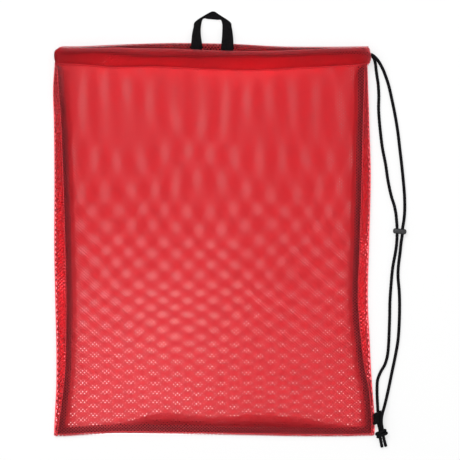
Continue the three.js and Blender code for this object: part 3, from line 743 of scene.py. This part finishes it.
def even_steps(points, step):
    along = distance_along(points)
    places = np.linspace(0, along[-1], max(2, int(round(along[-1] / step)) + 1))
    return values_at(places, along, points)


def moving_frame(path):
    """Side and up vectors along a path, turning as little as they can."""
    tangent = unit(np.gradient(path, axis=0))
    up = np.empty_like(path)
    start = UP
    if abs(tangent[0] @ start) > 0.9:
        start = np.array([1.0, 0.0, 0.0])
    for i, t in enumerate(tangent):
        start = unit(start - t * (start @ t))
        up[i] = start
    return np.cross(tangent, up), up


def tube_arrays(path, radius, closed_loop=False):
    """A tube along a path. radius is a grid: a row for each point and a column for each side."""
    side, up = moving_frame(path)
    sides = radius.shape[1]
    angle = circle(sides)
    ring = np.cos(angle)[:, None] * side[:, None] + np.sin(angle)[:, None] * up[:, None]
    points = (path[:, None] + ring * radius[..., None]).reshape(-1, 3)
    triangles = walls(len(path), sides, closed_loop)
    if closed_loop:
        return points, triangles
    near = np.arange(sides)
    far = (near + 1) % sides
    last = (len(path) - 1) * sides
    hub = np.full(sides, len(points))
    caps = [np.stack([hub, far, near], -1), np.stack([hub + 1, last + near, last + far], -1)]
    return np.concatenate([points, path[:1], path[-1:]]), np.concatenate([triangles, *caps])


def braid(path, radius=CORD_RADIUS, taper=None):
    """Radius of a round braid along a path: two sets of strands that wind opposite ways."""
    angle = circle(CORD_SIDES)[None]
    along = distance_along(path)[:, None]
    turn = 2 * math.pi * along / BRAID_PITCH
    one = np.cos(BRAID_STRANDS * angle + turn)
    other = np.cos(BRAID_STRANDS * angle - turn)
    relief = radius + BRAID_DEPTH * (np.maximum(one, other) - BRAID_LEVEL)
    return relief if taper is None else relief * taper[:, None]


def joined(parts):
    """Several arrays of points and triangles as one."""
    points, triangles, count = [], [], 0
    for part_points, part_triangles in parts:
        points.append(part_points)
        triangles.append(part_triangles + count)
        count += len(part_points)
    return np.concatenate(points), np.concatenate(triangles)


# Materials

def new_material(name):
    material = bpy.data.materials.new(name)
    material.use_nodes = True
    tree = material.node_tree
    return material, tree, tree.nodes["Principled BSDF"]


def set_finish(shader, roughness, specular):
    shader.inputs["Roughness"].default_value = roughness
    shader.inputs["Specular IOR Level"].default_value = specular


def mottle(tree, shader, dark, light, scale, detail=3.0, low=0.35, high=0.65):
    """Base colour that wanders between two shades."""
    place = tree.nodes.new("ShaderNodeTexCoord")
    noise = tree.nodes.new("ShaderNodeTexNoise")
    noise.inputs["Scale"].default_value = scale
    noise.inputs["Detail"].default_value = detail
    ramp = tree.nodes.new("ShaderNodeValToRGB")
    ramp.color_ramp.elements[0].position = low
    ramp.color_ramp.elements[0].color = (*dark, 1)
    ramp.color_ramp.elements[1].position = high
    ramp.color_ramp.elements[1].color = (*light, 1)
    tree.links.new(place.outputs["Object"], noise.inputs["Vector"])
    tree.links.new(noise.outputs["Fac"], ramp.inputs["Fac"])
    tree.links.new(ramp.outputs["Color"], shader.inputs["Base Color"])


NET_DARK = (0.90, 0.028, 0.060)
NET_LIGHT = (0.98, 0.042, 0.085)
NET_GLOW_COLOUR = (1.0, 0.56, 0.585)
NET_GLOW = 0.92  # share of the light that goes on through the yarn


def net_material():
    material, tree, shader = new_material("red_net_yarn")
    set_finish(shader, 0.7, 0.15)
    mottle(tree, shader, NET_DARK, NET_LIGHT, 260)
    glow = tree.nodes.new("ShaderNodeBsdfTranslucent")
    glow.inputs["Color"].default_value = (*NET_GLOW_COLOUR, 1)
    mix = tree.nodes.new("ShaderNodeMixShader")
    mix.inputs["Fac"].default_value = NET_GLOW
    tree.links.new(shader.outputs["BSDF"], mix.inputs[1])
    tree.links.new(glow.outputs["BSDF"], mix.inputs[2])
    tree.links.new(mix.outputs["Shader"], tree.nodes["Material Output"].inputs["Surface"])
    return material


def plain_material(name, dark, light, scale, roughness, specular=0.06, ribs=0):
    """A material that wanders between two shades, with fine ribs if any are asked for."""
    material, tree, shader = new_material(name)
    set_finish(shader, roughness, specular)
    mottle(tree, shader, dark, light, scale)
    if ribs:
        place = tree.nodes.new("ShaderNodeTexCoord")
        wave = tree.nodes.new("ShaderNodeTexWave")
        wave.inputs["Scale"].default_value = ribs
        wave.inputs["Distortion"].default_value = 1.5
        bump = tree.nodes.new("ShaderNodeBump")
        bump.inputs["Strength"].default_value = 0.5
        bump.inputs["Distance"].default_value = 0.0003
        tree.links.new(place.outputs["Object"], wave.inputs["Vector"])
        tree.links.new(wave.outputs["Fac"], bump.inputs["Height"])
        tree.links.new(bump.outputs["Normal"], shader.inputs["Normal"])
    return material


NET_RED = net_material()
TAPE_BLACK = plain_material("black_tape", (0.07, 0.062, 0.067), (0.11, 0.098, 0.104), 700, 0.85)
WEBBING_BLACK = plain_material("black_webbing", (0.0022, 0.002, 0.0022), (0.007, 0.006, 0.007), 500, 0.8,
                               ribs=420)
CORD_BLACK = plain_material("black_braid", (0.002, 0.002, 0.0024), (0.006, 0.0055, 0.0065), 900, 0.7)
BEAD_GREY = plain_material("dark_grey_plastic", (0.010, 0.010, 0.011), (0.018, 0.018, 0.02), 400, 0.3,
                           specular=0.5)
THREAD_RED = plain_material("red_thread", (0.90, 0.05, 0.07), (0.98, 0.09, 0.11), 600, 0.55)


# Cloth

front_surface = front_grid()
back_surface, back_reaches, back_folds = back_grid()
hem = hem_path()
hem_surface = hem_grid(hem)

front_net = net("front_net", front_surface, FRONT_REACH, front_share, body_width(FRONT_STRAND))
back_rims = [rim(line, UP, column, SIDE_RIM) for column, line in enumerate(back_folds.values())]
back_net = net("back_net", back_surface, BACK_REACH, back_share(back_reaches), body_width(BACK_STRAND),
               back_rims)


def hem_share(across, along):
    return across / HEM_ROUND, along / HEM_LENGTH


lip_line = hem_surface[:, HEM_COLUMNS - 1] - np.array([0, LIP_RIM / 2, 0])
lip_rim = rim(lip_line, np.stack([hem["nx"], 0 * hem["nx"], hem["nz"]], -1), 0.5, LIP_RIM)
casing_net = net("casing_net", hem_surface, ((0, 0), (HEM_ROUND, HEM_LENGTH)), hem_share, hem_width,
                 [lip_rim], HEM_STRAND_STEP)

dress(front_net, "net", "front_panel")
dress(back_net, "net", "back_panel")
dress(casing_net, "net", "casing_front", "casing_turn", "casing_back")


def tape(name, centre, side, normal, node):
    """Binding tape with fine ribs across it: rows of five points over and five under."""
    shares = np.linspace(-1, 1, 5)
    rib = TAPE_RIB * np.cos(np.arange(len(centre)) * math.pi)[:, None, None]
    flat = centre[:, None] + side[:, None] * (TAPE_WIDTH / 2 * shares)[:, None]
    over = flat + normal[:, None] * (TAPE_THICKNESS / 2 + rib)
    under = flat - normal[:, None] * (TAPE_THICKNESS / 2 + rib)
    ring = np.concatenate([over, under[:, ::-1]], axis=1)
    triangles = bar(*ring.shape[:2], order=-1)
    piece = mesh_object(name, ring.reshape(-1, 3), triangles, TAPE_BLACK)
    return dress(piece, "seam_tape", node)


def side_tape(side):
    """Tape under the front net along a side seam."""
    inward = INWARD[side]
    column = list(INWARD).index(side)
    row = np.linspace(*TAPE_ENDS, TAPE_ROWS)
    v = (WRAP_ROWS + row / TUCK * (GRID_ROWS - 1)) / (GRID_ROWS + WRAP_ROWS - 1)
    seam = grid_at(front_surface, np.full_like(v, column), v)
    beyond = grid_at(front_surface, np.full_like(v, column + inward * TAPE_SHARE), v)
    across = unit(beyond - seam)
    centre = seam + across * (TAPE_WIDTH / 2 + GAP)
    along = unit(np.gradient(centre, axis=0))
    normal = unit(np.cross(across, along)) * inward
    centre[:, 2] -= CLOTH / 2 + TAPE_DROP + TAPE_THICKNESS / 2
    return tape(side + "_tape", centre, across, normal, side + "_seam_tape")


def bottom_tape():
    left, right = seams(BODY_BOTTOM)
    x = np.linspace(left + BOTTOM_TAPE_SHORT, right - BOTTOM_TAPE_SHORT, BOTTOM_TAPE_ROWS)
    y = bottom_edge(x) + TAPE_WIDTH / 2 + BOTTOM_RIM
    centre = np.stack([x, y, np.full_like(x, CLOTH + GAP + TAPE_THICKNESS / 2)], -1)
    along = unit(np.gradient(centre, axis=0))
    normal = np.tile(UP, (len(x), 1))
    return tape("bottom_tape", centre, np.cross(normal, along), normal, "bottom_seam_tape")


tapes = [side_tape("left"), side_tape("right"), bottom_tape()]


# Cord

def cord_piece(name, route, node):
    path = smooth_route(route, CORD_STEP)
    piece = mesh_object(name, *tube_arrays(path, braid(path)), CORD_BLACK)
    return dress(piece, "cord", node), path


def path_length(path):
    return float(distance_along(path)[-1]) * MM


outer_cord, outer_path = cord_piece("outer_cord", OUTER_RUN, "cord_outer_run")
inner_cord, inner_path = cord_piece("inner_cord", INNER_RUN, "cord_inner_run")

hem_cord_path = even_steps(np.stack([hem["x"], hem["cord"], hem["z"]], -1), CORD_STEP)
hem_cord = mesh_object("hem_cord", *tube_arrays(hem_cord_path, braid(hem_cord_path)), CORD_BLACK)
dress(hem_cord, "cord", "cord_in_casing")


def knot():
    """The two cords' ends, and a slanting turn of both round them."""
    parts = []
    for route in (LEFT_TAIL, RIGHT_TAIL):
        path = smooth_route(route, CORD_STEP)
        taper = np.ones(len(path))
        taper[-len(CORD_END):] = CORD_END
        parts.append(tube_arrays(path, braid(path, taper=taper)))
    slant = math.radians(KNOT_TURN["slant"])
    long_way = np.array([math.cos(slant), math.sin(slant), 0])
    short_way = np.array([-math.sin(slant), math.cos(slant), 0])
    middle = np.array([KNOT_TURN["x"], KNOT_TURN["y"], KNOT_TURN["z"]])
    angle = circle(KNOT_TURN["steps"])[:, None]
    for half in (-0.5, 0.5):
        path = middle + short_way * half * KNOT_TURN["apart"] + long_way * KNOT_TURN["long"] * np.cos(angle)
        path = path + UP * KNOT_TURN["high"] * np.sin(angle)
        path = path + short_way * KNOT_TURN["sway"] * half * np.sin(2 * angle)
        radius = braid(path, radius=CORD_RADIUS - KNOT_TURN["tight"])
        parts.append(tube_arrays(path, radius, closed_loop=True))
    return joined(parts)


knot_piece = mesh_object("cord_knot", *knot(), CORD_BLACK)
dress(knot_piece, "cord", "end_knot", "cord_tail_left", "cord_tail_right")


def bead():
    """An oval bead with two holes for the cord, its holes along Y."""
    width, height, length = SLIDER["width"], SLIDER["height"], SLIDER["length"]
    around = circle(SLIDER["sides"])
    reach = (width - height) / 2
    cosine = np.cos(around)
    sideways = np.sign(cosine) * reach * np.minimum(1, np.abs(cosine) * SLIDER["straight"])
    outline = np.stack([sideways + height / 2 * cosine, height / 2 * np.sin(around)], -1)
    rounding = SLIDER["rounding"]
    profile = [(-length / 2 + rounding * (1 - math.cos(t)), rounding * (1 - math.sin(t)))
               for t in np.linspace(0, math.pi / 2, SLIDER["rows"])]
    profile += [(-place, inset) for place, inset in reversed(profile)]
    rings = []
    for place, inset in profile:
        shrunk = outline * (1 - 2 * inset / np.array([width, height]))
        rings.append(np.stack([shrunk[:, 0], np.full(len(shrunk), place), shrunk[:, 1]], -1))
    triangles = bar(len(rings), len(outline))
    tilt = math.radians(SLIDER["tilt"])
    cosine, sine = math.cos(tilt), math.sin(tilt)
    turn = np.array([[cosine, -sine, 0], [sine, cosine, 0], [0, 0, 1]])
    middle = np.array([SLIDER["x"], SLIDER["y"], SLIDER["z"]])
    piece = mesh_object("bead", np.concatenate(rings) @ turn.T + middle, triangles, BEAD_GREY)
    cutters = []
    for side in (-1, 1):
        offset = np.array([side * SLIDER_HOLE["spacing"] / 2, 0, 0])
        axis = np.array([[0, -length, 0], [0, length, 0]]) + offset
        radius = np.full((2, SLIDER_HOLE["sides"]), SLIDER_HOLE["radius"])
        points, faces = tube_arrays(axis @ turn.T + middle, radius)
        cutter = mesh_object(f"cutter_{side}", points, faces, BEAD_GREY)
        cutters.append(cutter)
        cut = piece.modifiers.new("hole", "BOOLEAN")
        cut.object = cutter
        cut.solver = "EXACT"
    evaluated = piece.evaluated_get(bpy.context.evaluated_depsgraph_get())
    mesh = bpy.data.meshes.new_from_object(evaluated)
    piece.modifiers.clear()
    piece.data = mesh
    mesh.set_sharp_from_angle(angle=math.radians(SLIDER["sharp"]))
    for cutter in cutters:
        bpy.data.objects.remove(cutter)
    return dress(piece, "slider_plastic", "cord_slider")


bead_piece = bead()


# Webbing

def hang_loop():
    """A flat loop of ribbed webbing: rows from the outer edge to the inner one, over and under."""
    keys = np.arange(len(LOOP_OUTLINE["outer_x"]), dtype=float)
    rows = dict(LOOP_OUTLINE, key=keys)
    at = np.linspace(0, keys[-1], LOOP["rows"])
    edges = np.stack([smooth_column(rows, "key", name)(at) for name in LOOP_OUTLINE], -1)
    share = np.linspace(0, 1, LOOP["columns"])
    plan = lerp(edges[:, None, :2], edges[:, None, 2:], share[None, :, None])
    level = lerp(LOOP_LEVEL, LOOP_FLOOR, smoothstep(plan[..., 1], *LOOP_FALL))
    edge = np.sqrt(np.clip(1 - np.abs(2 * share - 1) ** LOOP["edge"], 0, 1))
    rib = LOOP["rib"] * np.cos(share * 2 * math.pi * LOOP["ribs"])
    thickness = (WEBBING / 2) * edge
    weave = rib * edge * np.cos(np.arange(len(at)) * math.pi / 2)[:, None]
    top = level + WEBBING / 2 + thickness + weave
    low = level + WEBBING / 2 - thickness
    over = np.concatenate([plan, top[..., None]], -1)
    under = np.concatenate([plan, low[..., None]], -1)[:, ::-1]
    ring = np.concatenate([over, under[:, 1:-1]], axis=1)
    triangles = bar(*ring.shape[:2])
    piece = mesh_object("webbing_loop", ring.reshape(-1, 3), triangles, WEBBING_BLACK)
    return dress(piece, "webbing", "hang_loop")


def side_tab():
    """A flat ring of webbing in the side seam, leaning up towards its fold."""
    radius = TAB["height"] / 2
    middle = TAB_FLOOR + radius
    bend = np.linspace(-math.pi / 2, math.pi / 2, TAB["bend"])
    root = TAB["left"] - TAB_SEWN
    right = np.stack([TAB["right"] - radius + radius * np.cos(bend), middle + radius * np.sin(bend)], -1)
    left = np.stack([root + radius - radius * np.cos(bend), middle - radius * np.sin(bend)], -1)
    outline = np.concatenate([right, left])
    centre = outline.mean(0)
    size = np.array([TAB["right"] - root, TAB["height"]])
    lining = centre + (outline - centre) * (1 - 2 * TAB["wall"] / size)
    along = np.linspace(TAB["bottom"], TAB["top"], TAB["rows"])
    rib = TAB["rib"] * np.cos(np.arange(len(along)) * math.pi)
    outside, inside = [], []
    for y, relief in zip(along, rib):
        swollen = centre + (outline - centre) * (1 + 2 * relief / size)
        for rings, line in ((outside, swollen), (inside, lining)):
            lean = (line[:, 0] - TAB["left"]) * TAB["lean"]
            rings.append(np.stack([line[:, 0], y + lean, line[:, 1]], -1))
    rings = outside + inside[::-1]
    triangles = walls(len(rings), len(outline), closed=True)[:, ::-1]
    piece = mesh_object("webbing_tab", np.concatenate(rings), triangles, WEBBING_BLACK)
    return dress(piece, "webbing", "side_tab")


hang_loop()
side_tab()


# Stitches

def stitches(name, line, normal):
    """A row of stitches along a line: short threads that dip into the cloth at both ends."""
    length, radius = STITCH["length"], STITCH["radius"]
    along = distance_along(line)
    starts = np.arange(0, along[-1] - length, length + STITCH["pause"])
    parts = []
    share = np.linspace(0, 1, STITCH["steps"])
    bow = np.sin(share * math.pi)[:, None]
    arch = radius * (STITCH["rise"] * bow - STITCH["dip"])
    thick = np.repeat(radius * lerp(STITCH["thin"], 1, bow), STITCH["sides"], axis=1)
    for start in starts:
        places = start + share * length
        centre = values_at(places, along, line)
        up = unit(values_at(places, along, normal))
        parts.append(tube_arrays(centre + up * arch, thick))
    return dress(mesh_object(name, *joined(parts), THREAD_RED), "net")


hem_normals = grid_normals(hem_surface)
hem_stitches = stitches("hem_stitches", hem_surface[:, 1], hem_normals[:, 1])
front_normals = grid_normals(front_surface)
side_rows = slice(WRAP_ROWS, -SEAM_STITCH_END)
seam_stitches = [
    stitches("left_seam_stitches", front_surface[side_rows, 1], front_normals[side_rows, 1]),
    stitches("right_seam_stitches", front_surface[side_rows, -2], front_normals[side_rows, -2]),
    stitches("bottom_seam_stitches", front_surface[WRAP_ROWS + 1], front_normals[WRAP_ROWS + 1]),
]


# The cord runs' first points, lengths and paths in the part's frame, computed and not kept

to_frame(OUTER_RUN[0])
path_length(outer_path)
to_frame(outer_path)
to_frame(INNER_RUN[0])
path_length(inner_path)
to_frame(inner_path)


# Floor, light and camera

SKY = 1.02
HORIZON = 0.35  # the sky's brightness at the horizon, as a share of that overhead
HORIZON_TOP = 0.75  # how high the sky goes on growing brighter
KEY_LIGHT = {"place": (-0.9, 1.5, 2.4), "size": 1.6, "power": 46}
FLOOR_HALF = 3.0
PANEL_EDGE = 0.2  # the lit panel and the side strips end this far inside the cloth's outline
PANEL_LIFT = 0.015
PANEL_STEPS = 60
WHITE = (1.0, 1.0, 1.0)
LAYERS_RED = (1.0, 0.24, 0.28)  # the colour of light after it has passed other layers of the cloth
# Shade, glow and colour of each surface of the stage
SURFACES = {
    "floor_white": (0.3, 0.63, WHITE),
    "panel_white": (0.92, 0.98, WHITE),
    "shade_grey": (0.02, 0.0, WHITE),
    "dim_red": (0.5, 0.4, LAYERS_RED),
    "side_red": (0.92, 2.8, LAYERS_RED),
    "hem_red": (0.92, 7.0, LAYERS_RED),
}


def lit_surface(name):
    """Material of a surface that also glows, like a light table."""
    shade, glow, colour = SURFACES[name]
    material, _, shader = new_material(name)
    set_finish(shader, 0.9, 0.0)
    shader.inputs["Base Color"].default_value = (*(shade * value for value in colour), 1)
    shader.inputs["Emission Color"].default_value = (*colour, 1)
    shader.inputs["Emission Strength"].default_value = glow
    return material


def stage_piece(name, points, faces, surface):
    mesh = bpy.data.meshes.new(name)
    mesh.from_pydata(points, [], faces)
    mesh.materials.append(lit_surface(surface))
    add_object(name, mesh)


def floor():
    """A light table: the plain white floor, and a lit panel under the bag."""
    far = FLOOR_HALF
    plane = [(-far, -far, 0), (far, -far, 0), (far, far, 0), (-far, far, 0)]
    stage_piece("floor", plane, [(0, 1, 2, 3)], "floor_white")
    y = np.linspace(BODY_BOTTOM + 2 * PANEL_EDGE, BODY_TOP + HEM_HEIGHT, PANEL_STEPS)
    left = section["left_edge"](y) + PANEL_EDGE
    right = section["right_edge"](y) - PANEL_EDGE
    floor_strips("light_panel", [((left, y), (right, y))], PANEL_LIFT, "panel_white")


def floor_strips(name, strips, lift, surface):
    """Flat strips on the floor. Each has two edges, which are rows of x and y."""
    points, faces = [], []
    for near, far in strips:
        first, count = len(points), len(near[0])
        for line in (near, far):
            points.extend(to_frame(np.stack([*line, np.full(count, lift)], -1)).tolist())
        for i in range(first, first + count - 1):
            faces.append((i, i + 1, i + count + 1, i + count))
    stage_piece(name, points, faces, surface)


# Painted shadow: dark strips on the floor under the seams, the bottom fold and the hem stand in for the
# bag's own shadow there and darken the cloth over them. Height is how far the one under the bottom fold
# reaches up past the tape, by x.
BOTTOM_SHADE = table("x height", [
    [-200, 0.5], [-125, 1.0], [-104, 5.0], [-79, 12.5], [-54, 15.0], [-15, 11.5], [23, 11.5],
    [49, 15.0], [74, 14.0], [113, 12.0], [151, 5.5], [182, 1.5], [205, 0.5],
])
FOLD_DARK = 0.45  # FOLD_DARK = 0.45 # share of that height that is in full painted shadow
SIDE_SHADE = 5.0
HEM_SHADE_LOW = 235
SHADE_EDGE = 1.2  # the shade stays hidden this far inside the cloth's outline
SHADE_LIFT = 0.03
SHADE_STEPS = 120


def bottom_line(share):
    """A line over the bottom tape, at this share of the height of the shade there."""
    x = np.linspace(BOTTOM_SHADE["x"][0], BOTTOM_SHADE["x"][-1], SHADE_STEPS)
    height = smooth_column(BOTTOM_SHADE, "x", "height")(x)
    return x, bottom_edge(x) + BOTTOM_RIM + TAPE_WIDTH + share * height


def side_line(side, reach):
    """A line this far inside a side seam."""
    y = np.linspace(BODY_BOTTOM + SHADE_EDGE, BODY_TOP, SHADE_STEPS)
    return section[side + "_seam"](y) + INWARD[side] * reach, y


def shade_lines():
    """Both edges of each strip of painted shadow, as rows of x and y."""
    low = bottom_line(FOLD_DARK)
    yield (low[0], bottom_edge(low[0]) + SHADE_EDGE), low
    for side in INWARD:
        yield side_line(side, 0), side_line(side, TAPE_WIDTH)
    x = np.linspace(MOUTH_LEFT, MOUTH_RIGHT - SHADE_EDGE, SHADE_STEPS)
    yield (x, np.full_like(x, HEM_SHADE_LOW)), (x, back_hem["lip"](x) - SHADE_EDGE)


def dim_lines():
    """Both edges of each strip of painted half shade, which goes on from a dark one and glows a little red.
    """
    yield bottom_line(FOLD_DARK), bottom_line(1)
    for side in INWARD:
        yield side_line(side, TAPE_WIDTH), side_line(side, TAPE_WIDTH + SIDE_SHADE)


# The strip of painted light under the hem starts this far over the stitch line and ends short of the hem's
# end.
HEM_LIGHT = {"edge": 3.0, "top": 234, "end": 8.0}


def side_light_lines():
    """Both edges of the strips of painted light under the side edges, which glow red."""
    y = np.linspace(BODY_BOTTOM + 2 * PANEL_EDGE, BODY_TOP, PANEL_STEPS)
    for side, inward in INWARD.items():
        yield (section[side + "_edge"](y) + inward * PANEL_EDGE, y), (section[side + "_seam"](y), y)


def hem_light_lines():
    """Both edges of the brightest strip of painted light, under the four layers of cloth in the hem's lower
    half.
    """
    x = np.linspace(MOUTH_LEFT, MOUTH_RIGHT - HEM_LIGHT["end"], PANEL_STEPS)
    yield (x, front_hem["stitch"](x) + HEM_LIGHT["edge"]), (x, np.full_like(x, HEM_LIGHT["top"]))


def key_light():
    """A square light over the bag, turned to the middle of the frame."""
    light = bpy.data.lights.new("key", "AREA")
    light.size = KEY_LIGHT["size"]
    light.energy = KEY_LIGHT["power"]
    lamp = add_object("key", light)
    x, y, z = KEY_LIGHT["place"]
    lamp.location = (x, y, z)
    lamp.rotation_euler = (math.atan2(math.hypot(x, y), z), 0, math.atan2(x, -y))


def studio():
    scene = bpy.context.scene
    world = bpy.data.worlds.new("studio")
    scene.world = world
    world.use_nodes = True
    tree = world.node_tree
    background = tree.nodes["Background"]
    background.inputs["Strength"].default_value = SKY
    place = tree.nodes.new("ShaderNodeTexCoord")
    split = tree.nodes.new("ShaderNodeSeparateXYZ")
    ramp = tree.nodes.new("ShaderNodeValToRGB")
    ramp.color_ramp.elements[0].color = (HORIZON, HORIZON, HORIZON, 1)
    ramp.color_ramp.elements[1].position = HORIZON_TOP
    tree.links.new(place.outputs["Generated"], split.inputs["Vector"])
    tree.links.new(split.outputs["Z"], ramp.inputs["Fac"])
    tree.links.new(ramp.outputs["Color"], background.inputs["Color"])
    key_light()
    scene.view_settings.view_transform = "Standard"


def camera():
    data = bpy.data.cameras.new("camera")
    data.lens = LENS
    data.sensor_width = SENSOR
    eye = add_object("camera", data)
    field = PHOTO_PIXELS * PIXEL * MM
    aim = to_frame([*PHOTO_CENTRE, 0])
    eye.location = (aim[0], aim[1], field * LENS / SENSOR)
    data.clip_end = 100
    bpy.context.scene.camera = eye


floor()
# Painted shadow under the seams, the bottom fold and the hem
floor_strips("shade", shade_lines(), SHADE_LIFT, "shade_grey")
# Painted half shade at the edges of the painted shadow
floor_strips("dim", dim_lines(), SHADE_LIFT, "dim_red")
# Painted light: red glow under the side edges and the hem
floor_strips("side_lights", side_light_lines(), SHADE_LIFT, "side_red")
floor_strips("hem_light", hem_light_lines(), SHADE_LIFT, "hem_red")
studio()
camera()
